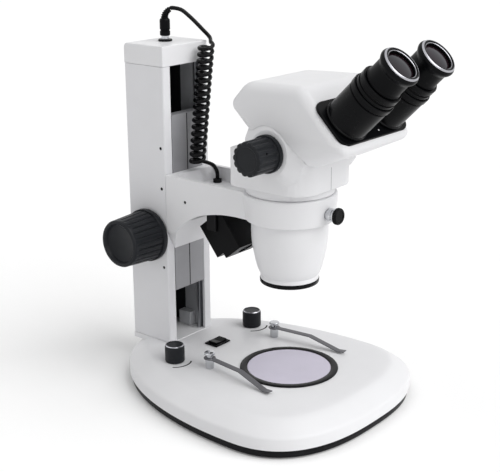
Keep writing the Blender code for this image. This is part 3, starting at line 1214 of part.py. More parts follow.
def tube_curve(name, points, radii, look):
    """A round tube along points, with a radius for each."""
    curve = bpy.data.curves.new(name, 'CURVE')
    curve.dimensions = '3D'
    curve.bevel_depth = 1.0
    curve.bevel_resolution = 1
    curve.use_fill_caps = True
    spline = curve.splines.new('POLY')
    spline.points.add(len(points) - 1)
    for point, place, radius in zip(spline.points, points, radii):
        point.co = (*place, 1.0)
        point.radius = radius
    return add(name, curve, look)


def relief_path():
    """Centre line of the strain relief, bending over towards the coil."""
    start = Vector((0.0, COLUMN_MID_Y, PLUG_BODY_Z + PLUG_LENGTH))
    end = Vector(CORD_LEAD_IN[0])
    lift = start + Vector((0.0, 0.0, (end - start).length * 0.55))
    steps = 4 * RELIEF_RIBS
    shares = [i / steps for i in range(steps + 1)]
    return [(1 - t) ** 2 * start + 2 * t * (1 - t) * lift + t * t * end for t in shares]


def make_plug():
    """Plug on the column's cap, with a ribbed strain relief."""
    place = Matrix.Translation((0.0, COLUMN_MID_Y, 0.0))
    top = PLUG_Z + PLUG_COLLAR_HEIGHT
    pin = SOCKET_BORE - SEAT_GAP
    tip = PLUG_Z - PLUG_PIN_DEPTH
    turned("plug_collar", ((0.0, top), (PLUG_COLLAR_RADIUS, top), (PLUG_COLLAR_RADIUS, PLUG_Z), (pin, PLUG_Z),
                           (pin, tip), (0.0, tip)), CHROME, place, SMALL_STEPS)
    low, high, rim = PLUG_BODY_Z, PLUG_BODY_Z + PLUG_LENGTH, PLUG_RADIUS
    body = turned("plug_body", ((0.0, high), (rim - EDGE, high), (rim, high - EDGE), (rim, low + EDGE),
                                (rim - EDGE, low), (0.0, low)), BLACK_PLASTIC, place, SMALL_STEPS)
    path = relief_path()
    path[0] = path[0] - Vector((0.0, 0.0, PLUG_RADIUS))
    radii = []
    for i in range(len(path)):
        base = RELIEF_RADIUS + (RELIEF_END_RADIUS - RELIEF_RADIUS) * i / (len(path) - 1)
        radii.append(base if i % 4 in (1, 2) else base * 0.78)
    relief = solid_from_curve("strain_relief", tube_curve("relief_tube", path, radii, None), None)
    fuse(body, relief)


def make_cord():
    """Curly lamp lead from the strain relief to the arm, one unbroken tube."""
    path = relief_path()
    heading = (path[-1] - path[-2]).normalized()
    start = path[-1] + heading * SEAT_GAP
    route_in = [start, start + heading * CORD_DIAMETER] + [Vector(point) for point in CORD_LEAD_IN[2:]]
    curls = helix_points()
    floor = ARM_FLOOR_TOP_Z + SEAT_GAP + GROMMET_HEIGHT + SEAT_GAP
    end = Vector((GROMMET_X, GROMMET_Y, floor))
    route_out = [Vector(point) for point in CORD_LEAD_OUT] + [end + Vector((0.0, 0.0, CORD_DIAMETER)), end]
    points = (smooth_route(route_in + [curls[0]], CORD_DIAMETER)[:-1] + curls
              + smooth_route([curls[-1]] + route_out, CORD_DIAMETER)[1:])
    gap, length = least_gap(points, CORD_DIAMETER)
    print(f"curly cord: length {length:.4f} m, least gap to itself {gap * 1000:.2f} mm")
    tube_curve("curly_cord", points, [CORD_DIAMETER / 2] * len(points), RUBBER)


def make_all():
    """Builds the whole microscope."""
    make_base()
    make_stage()
    make_clips()
    make_dimmers()
    make_switch()
    make_column()
    slide = axis("focus_slide", Matrix.Translation((0.0, ARM_BACK_Y, FOCUS_Z)))
    make_carriage(slide)
    make_arm(slide)
    make_lamp(slide)
    make_clamp()
    make_focus_drive(axis("focus_axis", Matrix.Translation((0.0, FOCUS_Y, FOCUS_Z))))
    head = axis("head_axis", Matrix.Translation((0.0, 0.0, RING_LOW_Z)))
    make_objective(head)
    make_zoom_body(head)
    make_head(head)
    make_zoom_drive(axis("zoom_axis", Matrix.Translation((0.0, ZOOM_SHAFT_Y, ZOOM_SHAFT_Z))),
                    axis("carrier_slide", Matrix.Translation((0.0, 0.0, CARRIER_Z))))
    for side, sign in mirrored_sides():
        make_tube(side, sign)
    make_plug()
    make_cord()
    bpy.context.view_layer.update()
    for item in PARTS.objects:
        if item.type == 'MESH':
            shade(item.data)


make_all()
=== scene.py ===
"""Dressed stereo microscope on a column stand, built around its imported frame.

Metres, +Z up. The optical axis is the Z axis, the user sits at -Y and the column stands at +Y.
"""
import logging
import math
from dataclasses import dataclass
from enum import Enum
from typing import Callable, Sequence

import bmesh
import bpy
from mathutils import Matrix, Vector


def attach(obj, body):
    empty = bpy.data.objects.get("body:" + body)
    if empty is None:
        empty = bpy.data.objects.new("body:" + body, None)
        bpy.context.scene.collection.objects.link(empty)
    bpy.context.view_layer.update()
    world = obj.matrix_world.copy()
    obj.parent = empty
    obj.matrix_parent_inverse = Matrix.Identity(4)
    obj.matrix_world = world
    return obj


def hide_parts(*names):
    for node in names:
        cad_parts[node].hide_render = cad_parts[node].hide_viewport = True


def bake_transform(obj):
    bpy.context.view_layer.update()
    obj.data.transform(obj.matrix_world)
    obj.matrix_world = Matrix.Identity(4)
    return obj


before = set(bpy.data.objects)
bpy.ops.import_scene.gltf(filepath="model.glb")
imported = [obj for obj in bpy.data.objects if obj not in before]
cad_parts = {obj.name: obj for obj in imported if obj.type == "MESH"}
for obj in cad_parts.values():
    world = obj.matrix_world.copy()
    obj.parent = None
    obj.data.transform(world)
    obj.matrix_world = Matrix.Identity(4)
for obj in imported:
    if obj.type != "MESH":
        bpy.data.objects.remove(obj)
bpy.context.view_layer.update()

LOG = logging.getLogger("stereo_microscope")
FULL_TURN = 2 * math.pi
TONE_SCALE, GLOSS_SCALE = 28.0, 45.0
NOISE_SPAN = (0.3, 0.7)
COAT_ROUGHNESS = 0.08
GAP = 0.0003
SCREW_RADIUS = 0.0016
Pair = tuple[float, float]
Triple = tuple[float, float, float]
Socket = bpy.types.NodeSocket

ALONG_X = Matrix.Rotation(math.pi / 2, 4, 'Y')
TOWARDS_USER = Matrix.Rotation(math.pi / 2, 4, 'X')
SIDEWAYS = Matrix(((0, 0, 1, 0), (1, 0, 0, 0), (0, 1, 0, 0), (0, 0, 0, 1)))


class Side(Enum):
    """The microscope's two sides, with the sign of X on each."""

    LEFT = -1
    RIGHT = 1

    @property
    def word(self) -> str:
        """The side's name as node names use it."""
        return self.name.lower()


class Grain(Enum):
    """Fine relief of a surface, as noise scale and stretch along X, Y and Z."""

    ORANGE_PEEL = (520.0, (1.0, 1.0, 1.0))
    SPARK = (2400.0, (1.0, 1.0, 1.0))
    BRUSHED_UP = (1600.0, (1.0, 1.0, 0.02))
    BRUSHED_ALONG = (1600.0, (1.0, 0.03, 1.0))
    CAST = (1100.0, (1.0, 1.0, 1.0))
    SMOOTH = (180.0, (1.0, 1.0, 1.0))


class Graph:
    """A material's node tree while it is wired."""

    def __init__(self, name: str) -> None:
        """Makes the material.

        Args:
            name: Name of the material.
        """
        self.material = bpy.data.materials.new(name)
        self.material.use_nodes = True
        self.tree = self.material.node_tree
        self.shader = self.tree.nodes["Principled BSDF"]

    def node(self, kind: str, **settings: object) -> bpy.types.Node:
        """Adds a node.

        Args:
            kind: Blender's type name of the node.
            settings: Attributes to set on it.

        Returns:
            The node.
        """
        made = self.tree.nodes.new(kind)
        for key, value in settings.items():
            setattr(made, key, value)
        return made

    def link(self, source: Socket, target: Socket) -> None:
        """Wires one socket to another."""
        self.tree.links.new(source, target)

    def math(self, operation: str, first: Socket, second: float) -> Socket:
        """Adds a Math node on a socket and a number.

        Args:
            operation: Blender's name of the operation.
            first: Socket of the first value.
            second: The second value.

        Returns:
            The result's socket.
        """
        made = self.node("ShaderNodeMath", operation=operation)
        self.link(first, made.inputs[0])
        made.inputs[1].default_value = second
        return made.outputs[0]

    def both(self, first: Socket, second: Socket) -> Socket:
        """Multiplies two sockets.

        Args:
            first: One factor.
            second: The other factor.

        Returns:
            The product's socket.
        """
        made = self.node("ShaderNodeMath", operation='MULTIPLY')
        self.link(first, made.inputs[0])
        self.link(second, made.inputs[1])
        return made.outputs[0]

    def noise(self, scale: float, stretch: Triple = (1.0, 1.0, 1.0), detail: float = 3.0) -> Socket:
        """Noise on Object coordinates.

        Args:
            scale: Bumps per metre.
            stretch: Factors along X, Y and Z.
            detail: Octaves of the noise.

        Returns:
            The noise's value.
        """
        place = self.node("ShaderNodeTexCoord")
        mapping = self.node("ShaderNodeMapping")
        mapping.inputs["Scale"].default_value = stretch
        noise = self.node("ShaderNodeTexNoise")
        noise.inputs["Scale"].default_value = scale
        noise.inputs["Detail"].default_value = detail
        self.link(place.outputs["Object"], mapping.inputs["Vector"])
        self.link(mapping.outputs["Vector"], noise.inputs["Vector"])
        return noise.outputs["Fac"]

    def spread(self, source: Socket, low: float, high: float) -> Socket:
        """Maps a noise value to a range.

        Args:
            source: The noise's socket.
            low: Value in the noise's dips.
            high: Value on its peaks.

        Returns:
            The mapped value's socket.
        """
        made = self.node("ShaderNodeMapRange")
        self.link(source, made.inputs["Value"])
        made.inputs["From Min"].default_value = NOISE_SPAN[0]
        made.inputs["From Max"].default_value = NOISE_SPAN[1]
        made.inputs["To Min"].default_value = low
        made.inputs["To Max"].default_value = high
        return made.outputs["Result"]

    def mix(self, share: Socket, first: object, second: object) -> Socket:
        """Mixes two colours, each given as numbers or as a socket.

        Args:
            share: Socket of the second colour's share.
            first: Colour at a share of 0.
            second: Colour at a share of 1.

        Returns:
            The mixed colour's socket.
        """
        made = self.node("ShaderNodeMix", data_type='RGBA')
        self.link(share, made.inputs[0])
        for value, socket in ((first, made.inputs[6]), (second, made.inputs[7])):
            if isinstance(value, Socket):
                self.link(value, socket)
            else:
                socket.default_value = (*value, 1.0)
        return made.outputs[2]


@dataclass(frozen=True)
class Finish:
    """A surface finish: colour, gloss, fine relief and how much each wanders.

    Attributes:
        name: Material name.
        slot: The record's material slot; not used.
        colour: Linear base colour.
        roughness: Middle roughness.
        metallic: 1 for bare metal.
        grain: Kind of fine relief.
        relief: Height of the relief in metres.
        tone: Share by which the colour wanders.
        wander: Amount by which the roughness wanders.
        coat: Weight of a clear coat.
        specular: Specular level.
        film: Thickness of a lens coating in nanometres.
        transmission: Share of light let through.
    """

    name: str
    slot: str
    colour: Triple
    roughness: float
    metallic: float = 0.0
    grain: Grain = Grain.SPARK
    relief: float = 0.00003
    tone: float = 0.08
    wander: float = 0.05
    coat: float = 0.0
    specular: float = 0.5
    film: float = 0.0
    transmission: float = 0.0

    def material(self) -> bpy.types.Material:
        """Makes the finish's material on first use.

        Returns:
            The material.
        """
        known = bpy.data.materials.get(self.name)
        if known:
            return known
        graph = Graph(self.name)
        inputs = graph.shader.inputs
        inputs["Metallic"].default_value = self.metallic
        inputs["Coat Weight"].default_value = self.coat
        inputs["Coat Roughness"].default_value = COAT_ROUGHNESS
        inputs["Specular IOR Level"].default_value = self.specular
        inputs["Transmission Weight"].default_value = self.transmission
        inputs["Thin Film Thickness"].default_value = self.film
        graph.link(self.paint(graph), inputs["Base Color"])
        gloss = graph.spread(graph.noise(GLOSS_SCALE), self.roughness - self.wander,
                             self.roughness + self.wander)
        graph.link(gloss, inputs["Roughness"])
        scale, stretch = self.grain.value
        bump = graph.node("ShaderNodeBump")
        bump.inputs["Strength"].default_value = 1.0
        bump.inputs["Distance"].default_value = self.relief
        graph.link(graph.noise(scale, stretch), bump.inputs["Height"])
        graph.link(bump.outputs["Normal"], inputs["Normal"])
        return graph.material

    def paint(self, graph: Graph) -> Socket:
        """Wires the colour, which wanders softly over the surface.

        Args:
            graph: The material's node tree.

        Returns:
            The colour's socket.
        """
        darker = tuple(value * (1 - self.tone) for value in self.colour)
        lighter = tuple(min(1.0, value * (1 + self.tone)) for value in self.colour)
        return graph.mix(graph.spread(graph.noise(TONE_SCALE), 0.0, 1.0), darker, lighter)


@dataclass(frozen=True)
class SlotShadePaint(Finish):
    """Paint that ends inside the column, with painted shade in its hollow: grey on the side walls and black
    at the back.

    Attributes:
        side: Grey painted shade on the inner side walls.
        back: Black painted shade at the back of the hollow.
        half_width: Half width of the hollow.
        lip: Place of the lips' inner face.
        wall: Place of the inner back wall.
        black_shade_start: Place where the black painted shade starts.
    """

    # side and back: painted shade inside the column's hollow.
    side: Triple = (0.42, 0.43, 0.45)
    back: Triple = (0.016, 0.018, 0.020)
    half_width: float = 0.0263
    lip: float = 0.1375
    wall: float = 0.1805
    black_shade_start: float = 0.1667

    def paint(self, graph: Graph) -> Socket:
        """Wires white paint outside, and painted shade inside: grey on the walls, black towards the back.

        Args:
            graph: The material's node tree.

        Returns:
            The colour's socket.
        """
        place = graph.node("ShaderNodeTexCoord")
        parts = graph.node("ShaderNodeSeparateXYZ")
        graph.link(place.outputs["Object"], parts.inputs[0])
        across = graph.node("ShaderNodeMath", operation='ABSOLUTE')
        graph.link(parts.outputs["X"], across.inputs[0])
        within = graph.math('LESS_THAN', across.outputs[0], self.half_width)
        behind = graph.math('GREATER_THAN', parts.outputs["Y"], self.lip)
        before = graph.math('LESS_THAN', parts.outputs["Y"], self.wall + 0.001)
        inside = graph.both(graph.both(within, behind), before)
        # Painted shade: black from here towards the back of the hollow, grey on the walls before it.
        deep = graph.both(inside, graph.math('GREATER_THAN', parts.outputs["Y"], self.black_shade_start))
        white = Finish.paint(self, graph)
        return graph.mix(deep, graph.mix(inside, white, self.side), self.back)


WHITE = Finish("white_enamel", "white_paint", (0.77, 0.77, 0.785), 0.36, grain=Grain.ORANGE_PEEL,
               relief=0.00003, tone=0.012, wander=0.04, coat=0.06, specular=0.22)
# Column paint: white outside, painted shade inside its hollow.
COLUMN_WHITE_AND_SHADE = SlotShadePaint("column_enamel_and_shade", "white_paint", (0.75, 0.75, 0.77), 0.42, grain=Grain.ORANGE_PEEL,
                         relief=0.00003, tone=0.012, wander=0.04, specular=0.22)
BLACK = Finish("moulded_black", "black_plastic", (0.0032, 0.0034, 0.0040), 0.34, relief=0.00003, tone=0.25,
               specular=0.07)
GRIP = Finish("grip_black", "black_plastic", (0.0150, 0.0163, 0.0190), 0.36, relief=0.00004, tone=0.2,
              specular=0.13)
ANODISED = Finish("anodised_black", "black_metal", (0.0022, 0.0024, 0.0030), 0.25, relief=0.00001, tone=0.2,
                  specular=0.09)
RIM_BLACK = Finish("base_rim_black", "black_plastic", (0.0080, 0.0080, 0.0094), 0.36, relief=0.00003,
                   tone=0.2, specular=0.09)
CAST = Finish("milled_grey", "cast_grey", (0.30, 0.30, 0.315), 0.42, 0.25, Grain.BRUSHED_UP, 0.00002, 0.05)
STEEL = Finish("ground_steel", "steel", (0.45, 0.46, 0.48), 0.32, 1.0, Grain.BRUSHED_UP, 0.00001, 0.06)
LEAF_STEEL = Finish("spring_steel", "dark_steel", (0.105, 0.105, 0.115), 0.36, 0.45, Grain.BRUSHED_ALONG,
                    0.00001, 0.10)
YOKE_STEEL = Finish("black_steel", "dark_steel", (0.007, 0.007, 0.008), 0.45, 0.0, Grain.CAST, 0.00002, 0.15,
                    specular=0.12)
CHROME = Finish("chrome_plate", "chrome", (0.56, 0.57, 0.59), 0.10, 1.0, Grain.SMOOTH, 0.000004, 0.03, 0.03)
BRASS = Finish("turned_brass", "brass", (0.60, 0.45, 0.20), 0.28, 1.0, Grain.BRUSHED_ALONG, 0.00001, 0.06)
RUBBER = Finish("soft_rubber", "rubber", (0.010, 0.010, 0.011), 0.72, relief=0.00006, tone=0.15,
                specular=0.15)
CORD_SKIN = Finish("cord_skin", "rubber", (0.0030, 0.0030, 0.0036), 0.16, relief=0.00001, tone=0.15,
                   specular=0.13)
FROSTED = Finish("frosted_plate", "frosted_glass", (0.60, 0.57, 0.67), 0.48, 0.0, Grain.SPARK, 0.00003, 0.03,
                 coat=0.05, specular=0.3)
LENS = Finish("coated_lens", "lens_glass", (0.014, 0.006, 0.009), 0.05, 0.0, Grain.SMOOTH, 0.000001, 0.45,
              0.02, specular=0.16, film=104.0)
PRISM = Finish("prism_glass", "lens_glass", (0.55, 0.57, 0.60), 0.06, 0.0, Grain.SMOOTH, 0.000001, 0.05, 0.02,
               transmission=0.8)
LAMP_DOME = Finish("lamp_dome", "lamp_plastic", (0.85, 0.76, 0.38), 0.35, 0.0, Grain.SPARK, 0.00002, 0.08)
# Black ink for the printed arcs, also used as painted shade in the carriage's seam groove.
INK_AND_SHADE = Finish("ink_and_groove_shade", "black_plastic", (0.006, 0.006, 0.007), 0.55, relief=0.00001, tone=0.1,
             specular=0.2)
WHITE_INK = Finish("white_ink", "white_paint", (0.75, 0.75, 0.76), 0.5, relief=0.00001, tone=0.03)
# Bright grey metal for edge rings: painted highlights on the dimmer knobs, bright edges with painted
# highlights on the oculars.
BRIGHT_EDGE_AND_HIGHLIGHT = Finish("bright_edge_and_highlight", "chrome", (0.42, 0.42, 0.45), 0.26, 1.0, Grain.SMOOTH, 0.000004, 0.08)
PALE_CAST = Finish("pale_grey", "cast_grey", (0.56, 0.57, 0.59), 0.45, 0.0, Grain.CAST, 0.00002, 0.05)
SEAM_SHADE = Finish("seam_shade", "white_paint", (0.20, 0.20, 0.21), 0.6, relief=0.00001, tone=0.1,
                    specular=0.2)


class Form:
    """A mesh that operators shape step by step before it becomes a piece."""

    def __init__(self) -> None:
        """Starts with nothing."""
        self.bm = bmesh.new()

    @classmethod
    def turned(cls, profile: Sequence[Pair], steps: int = 96, place: Matrix = Matrix(), ring: bool = False,
               sweep: float = FULL_TURN) -> "Form":
        """A profile of (radius, height) spun about its own Z axis.

        Args:
            profile: Points down the outer side.
            steps: Faces round the turn.
            place: Where the form goes.
            ring: Whether the profile closes on itself.
            sweep: Angle of the spin.

        Returns:
            The form.
        """
        form = cls()
        verts = [form.bm.verts.new((radius, 0.0, height)) for radius, height in profile]
        edges = [form.bm.edges.new(pair) for pair in zip(verts, verts[1:])]
        if ring:
            edges.append(form.bm.edges.new((verts[-1], verts[0])))
        full = sweep >= FULL_TURN
        bmesh.ops.spin(form.bm, geom=verts + edges, cent=(0, 0, 0), axis=(0, 0, 1), angle=sweep, steps=steps,
                       use_merge=full)
        if not full:
            bmesh.ops.holes_fill(form.bm, edges=[e for e in form.bm.edges if e.is_boundary], sides=0)
        return form.settled(place)

    @classmethod
    def rod(cls, radius: float, low: float, high: float, steps: int, place: Matrix = Matrix()) -> "Form":
        """A plain cylinder about its own Z axis.

        Args:
            radius: Its radius.
            low: Lower end.
            high: Upper end.
            steps: Faces round the rod.
            place: Where the form goes.

        Returns:
            The form.
        """
        return cls.turned(((0.0, high), (radius, high), (radius, low), (0.0, low)), steps, place)

    @classmethod
    def slab(cls, outline: Sequence[Pair], low: float, high: float, place: Matrix = Matrix()) -> "Form":
        """A flat outline of (x, y) points extruded along its own Z axis.

        Args:
            outline: Points round the outline.
            low: Lower face.
            high: Upper face.
            place: Where the form goes.

        Returns:
            The form.
        """
        form = cls()
        face = form.bm.faces.new([form.bm.verts.new((x, y, low)) for x, y in outline])
        form.raise_face(face, high - low)
        return form.settled(place)

    @classmethod
    def box(cls, low: Triple, high: Triple, place: Matrix = Matrix()) -> "Form":
        """A box between two corners.

        Args:
            low: Corner with the least coordinates.
            high: Corner with the greatest coordinates.
            place: Where the form goes.

        Returns:
            The form.
        """
        form = cls()
        bmesh.ops.create_cube(form.bm, size=1.0)
        bmesh.ops.scale(form.bm, vec=[b - a for a, b in zip(low, high)], verts=form.bm.verts)
        bmesh.ops.translate(form.bm, vec=[(a + b) / 2 for a, b in zip(low, high)], verts=form.bm.verts)
        return form.settled(place)

    @classmethod
    def loft(cls, sections: Sequence[Sequence[Triple]]) -> "Form":
        """A solid bridged through closed sections of equal point counts.

        Args:
            sections: Each a list of points round the section.

        Returns:
            The form, with a face over each end.
        """
        form = cls()
        loops = []
        for section in sections:
            verts = [form.bm.verts.new(point) for point in section]
            loops.append([form.bm.edges.new(pair) for pair in zip(verts, verts[1:] + verts[:1])])
        for lower, upper in zip(loops, loops[1:]):
            bmesh.ops.bridge_loops(form.bm, edges=lower + upper)
        for loop in (loops[0], loops[-1]):
            bmesh.ops.contextual_create(form.bm, geom=loop)
        return form.settled()

    @classmethod
    def copy_of(cls, node: str) -> "Form":
        """A merged copy of a CAD node's mesh, with its flat faces whole again.

        Args:
            node: Name of the node.

        Returns:
            The form.
        """
        form = cls()
        form.bm.from_mesh(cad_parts[node].data)
        bmesh.ops.remove_doubles(form.bm, verts=form.bm.verts, dist=0.000002)
        bmesh.ops.dissolve_limit(form.bm, angle_limit=math.radians(0.6), verts=form.bm.verts,
                                 edges=form.bm.edges)
        return form

    def raise_face(self, face: bmesh.types.BMFace, height: float) -> None:
        """Extrudes a lone face along Z.

        Args:
            face: The face.
            height: Length of the extrusion.
        """
        made = bmesh.ops.extrude_face_region(self.bm, geom=[face])
        verts = [item for item in made["geom"] if isinstance(item, bmesh.types.BMVert)]
        bmesh.ops.translate(self.bm, vec=(0.0, 0.0, height), verts=verts)

    def settled(self, place: Matrix = Matrix()) -> "Form":
        """Merges doubles, turns the faces outwards and puts the form in its place.

        Args:
            place: Where the form goes.

        Returns:
            The form itself.
        """
        bmesh.ops.remove_doubles(self.bm, verts=self.bm.verts, dist=0.000001)
        bmesh.ops.recalc_face_normals(self.bm, faces=self.bm.faces)
        bmesh.ops.transform(self.bm, matrix=place, verts=self.bm.verts)
        return self

    def moved(self, place: Matrix) -> "Form":
        """Puts the form in its place."""
        bmesh.ops.transform(self.bm, matrix=place, verts=self.bm.verts)
        return self

    def softened(self, width: float, segments: int = 2, angle: float = 35.0,
                 where: Callable[[Vector], bool] | None = None) -> "Form":
        """Bevels the sharp edges.

        Args:
            width: Width of the bevel.
            segments: Faces across the bevel.
            angle: Least angle of an edge in degrees.
            where: Test of an edge's middle, for a bevel on some edges only.

        Returns:
            The form itself.
        """
        limit = math.radians(angle)
        edges = [edge for edge in self.bm.edges if edge.is_manifold and edge.calc_face_angle(0.0) > limit]
        if where:
            edges = [edge for edge in edges if where((edge.verts[0].co + edge.verts[1].co) / 2)]
        bmesh.ops.bevel(self.bm, geom=edges, offset=width, offset_type='OFFSET', segments=segments,
                        profile=0.5, affect='EDGES', material=-1, clamp_overlap=True)
        return self

    def grooved(self, count: int, depth: float, low: float, high: float, inner: float,
                sharpness: float = 1.0) -> "Form":
        """Presses grooves along Z into the outside of a turned form.

        Args:
            count: Grooves round the form.
            depth: Depth of a groove.
            low: Height where the grooves start.
            high: Height where they end.
            inner: Radius inside which nothing moves.
            sharpness: 1 for scallops, more for narrow grooves.

        Returns:
            The form itself.
        """
        for vert in self.bm.verts:
            radius = math.hypot(vert.co.x, vert.co.y)
            if radius > inner and low < vert.co.z < high:
                turn = math.atan2(vert.co.y, vert.co.x)
                press = depth * (0.5 + 0.5 * math.cos(count * turn)) ** sharpness
                vert.co.x *= 1 - press / radius
                vert.co.y *= 1 - press / radius
        return self

    def joined(self, *others: "Form") -> "Form":
        """Adds the shells of other forms.

        Args:
            others: The forms, which are used up.

        Returns:
            The form itself.
        """
        for other in others:
            mesh = bpy.data.meshes.new("joining")
            other.bm.to_mesh(mesh)
            other.bm.free()
            self.bm.from_mesh(mesh)
            bpy.data.meshes.remove(mesh)
        return self

    def minus(self, *others: "Form") -> "Form":
        """Cuts other forms out."""
        return self.combined(others, 'DIFFERENCE')

    def plus(self, *others: "Form") -> "Form":
        """Joins other forms into one skin."""
        return self.combined(others, 'UNION')

    def combined(self, others: Sequence["Form"], operation: str) -> "Form":
        """Runs Booleans with other forms.

        Args:
            others: The tools.
            operation: Blender's name of the Boolean.

        Returns:
            The form itself, with its new mesh.
        """
        items = []
        for form in (self, *others):
            mesh = bpy.data.meshes.new("boolean")
            form.bm.to_mesh(mesh)
            form.bm.free()
            items.append(bpy.data.objects.new("boolean", mesh))
            bpy.context.scene.collection.objects.link(items[-1])
        for tool in items[1:]:
            boolean = items[0].modifiers.new("boolean", 'BOOLEAN')
            boolean.operation = operation
            boolean.solver = 'EXACT'
            boolean.object = tool
        bpy.context.view_layer.update()
        result = items[0].evaluated_get(bpy.context.evaluated_depsgraph_get()).to_mesh()
        self.bm = bmesh.new()
        self.bm.from_mesh(result)
        for item in items:
            bpy.data.meshes.remove(item.data)
        return self

    def piece(self, name: str, finish: Finish, body: str, *nodes: str, crease: float = 35.0,
              even: bool = False) -> bpy.types.Object:
        """Makes the form a piece of the microscope.

        Args:
            name: Name of the piece.
            finish: Its finish.
            body: The CAD body that it rides on.
            nodes: The CAD nodes that it stands for.
            crease: Angle in degrees past which an edge shades sharp.
            even: Whether large faces lead the shading, as on castings.

        Returns:
            The piece.
        """
        mesh = bpy.data.meshes.new(name)
        self.bm.to_mesh(mesh)
        self.bm.free()
        mesh.shade_smooth()
        mesh.set_sharp_from_angle(angle=math.radians(crease))
        item = bpy.data.objects.new(name, mesh)
        bpy.context.scene.collection.objects.link(item)
        mesh.materials.append(finish.material())
        if even:
            weights = item.modifiers.new("even_shading", 'WEIGHTED_NORMAL')
            weights.keep_sharp = True
            weights.weight = 60
        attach(item, body)
        if nodes:
            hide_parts(*nodes)
        LOG.info("%s: %d faces, rides on %s", name, len(mesh.polygons), body)
        return item


def dress(finish: Finish, *nodes: str) -> None:
    """Gives CAD nodes that stay in view a finish of their own.

    Args:
        finish: The finish.
        nodes: Names of the nodes.
    """
    for node in nodes:
        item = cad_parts[node]
        item.data.materials.clear()
        item.data.materials.append(finish.material())
        LOG.info("%s: dressed in %s", node, finish.name)


def rounded(corners: Sequence[Triple], segments: int = 12) -> list[Pair]:
    """An outline with each corner as an arc.

    Args:
        corners: Corners as (x, y, radius).
        segments: Steps of each arc.

    Returns:
        Points round the outline.
    """
    points = []
    count = len(corners)
    for i, (x, y, radius) in enumerate(corners):
        here = Vector((x, y))
        before = (Vector(corners[i - 1][:2]) - here).normalized()
        after = (Vector(corners[(i + 1) % count][:2]) - here).normalized()
        if radius <= 0.0:
            points.append((x, y))
            continue
        half = before.angle(after) / 2
        centre = here + (before + after).normalized() * (radius / math.sin(half))
        start = here + before * (radius / math.tan(half)) - centre
        sweep = (here + after * (radius / math.tan(half)) - centre).angle_signed(start)
        for k in range(segments + 1):
            spoke = start.copy()
            spoke.rotate(Matrix.Rotation(sweep * k / segments, 2))
            points.append(tuple(centre + spoke))
    return points


def smooth_line(points: Sequence[Sequence[float]], steps: int) -> list[Vector]:
    """A smooth curve through points.

    Args:
        points: The points, two or three numbers each.
        steps: Steps between neighbours.

    Returns:
        Points along the curve.
    """
    given = [Vector(point) for point in points]
    path = []
    for i in range(len(given) - 1):
        a, b = given[i], given[i + 1]
        before = given[i - 1] if i else a + (a - b)
        after = given[i + 2] if i + 2 < len(given) else b + (b - a)
        for k in range(steps):
            t = k / steps
            path.append(0.5 * (2 * a + (b - before) * t + (2 * before - 5 * a + 4 * b - after) * t * t
                               + (3 * a - before - 3 * b + after) * t ** 3))
    path.append(given[-1])
    return path


def tube_form(points: Sequence[Vector], radii: Sequence[float], sides: int) -> Form:
    """A round tube swept along points.

    Args:
        points: The centre line.
        radii: Radius at each point.
        sides: Quarter faces round the tube, as Blender's bevel resolution.

    Returns:
        The tube with closed ends.
    """
    curve = bpy.data.curves.new("tube", 'CURVE')
    curve.dimensions = '3D'
    curve.bevel_depth = 1.0
    curve.bevel_resolution = sides
    curve.use_fill_caps = True
    spline = curve.splines.new('POLY')
    spline.points.add(len(points) - 1)
    for point, place, radius in zip(spline.points, points, radii):
        point.co = (*place, 1.0)
        point.radius = radius
    item = bpy.data.objects.new("tube", curve)
    bpy.context.scene.collection.objects.link(item)
    bpy.context.view_layer.update()
    form = Form()
    form.bm.from_mesh(item.evaluated_get(bpy.context.evaluated_depsgraph_get()).to_mesh())
    bpy.data.objects.remove(item)
    return form.settled()


def outwards(side: Side, x: float, y: float, z: float) -> Matrix:
    """A frame on one side of the microscope, with Z pointing outwards.

    Args:
        side: The side.
        x: Distance from the middle.
        y: Place along Y.
        z: Height.

    Returns:
        The frame.
    """
    return Matrix.Translation((side.value * x, y, z)) @ Matrix.Rotation(side.value * math.pi / 2, 4, 'Y')


def socket_screw(place: Matrix, bore: float, depth: float, length: float) -> Form:
    """A small screw with a round socket.

    Args:
        place: Frame at the socket's floor.
        bore: Radius of the socket.
        depth: Depth of the socket.
        length: Length below the socket's floor.

    Returns:
        The screw.
    """
    return Form.turned(((0.0, 0.0), (bore, 0.0), (bore, depth), (SCREW_RADIUS, depth),
                        (SCREW_RADIUS, -length), (0.0, -length)), 24, place)


def soften(node: str, name: str, finish: Finish, body: str, width: float, angle: float) -> None:
    """Makes a piece that is a CAD node with its sharp edges softened.

    Args:
        node: The CAD node.
        name: Name of the piece.
        finish: Its finish.
        body: The CAD body that it rides on.
        width: Width of the bevel.
        angle: Least angle of an edge in degrees.
    """
    Form.copy_of(node).softened(width, 2, angle).piece(name, finish, body, node, even=True)


@dataclass
class PhotoCamera:
    """The camera at the photograph's viewpoint."""

    place: Triple = (-0.8175, -0.6304, 0.5030)
    lens: float = 79.55
    sensor: float = 36.0
    clip: Pair = (0.05, 100.0)
    heading: float = math.radians(50.2)
    pitch: float = math.radians(17.62)
    roll: float = math.radians(-0.28)

    def build(self) -> bpy.types.Object:
        """Makes the camera and looks through it.

        Returns:
            The camera.
        """
        data = bpy.data.cameras.new("photo_camera")
        data.lens = self.lens
        data.sensor_width = self.sensor
        data.clip_start, data.clip_end = self.clip
        camera = bpy.data.objects.new("photo_camera", data)
        bpy.context.scene.collection.objects.link(camera)
        aim = (Matrix.Rotation(-self.heading, 4, 'Z') @ Matrix.Rotation(math.pi / 2 - self.pitch, 4, 'X')
               @ Matrix.Rotation(self.roll, 4, 'Z'))
        camera.matrix_world = Matrix.Translation(self.place) @ aim
        bpy.context.scene.camera = camera
        return camera


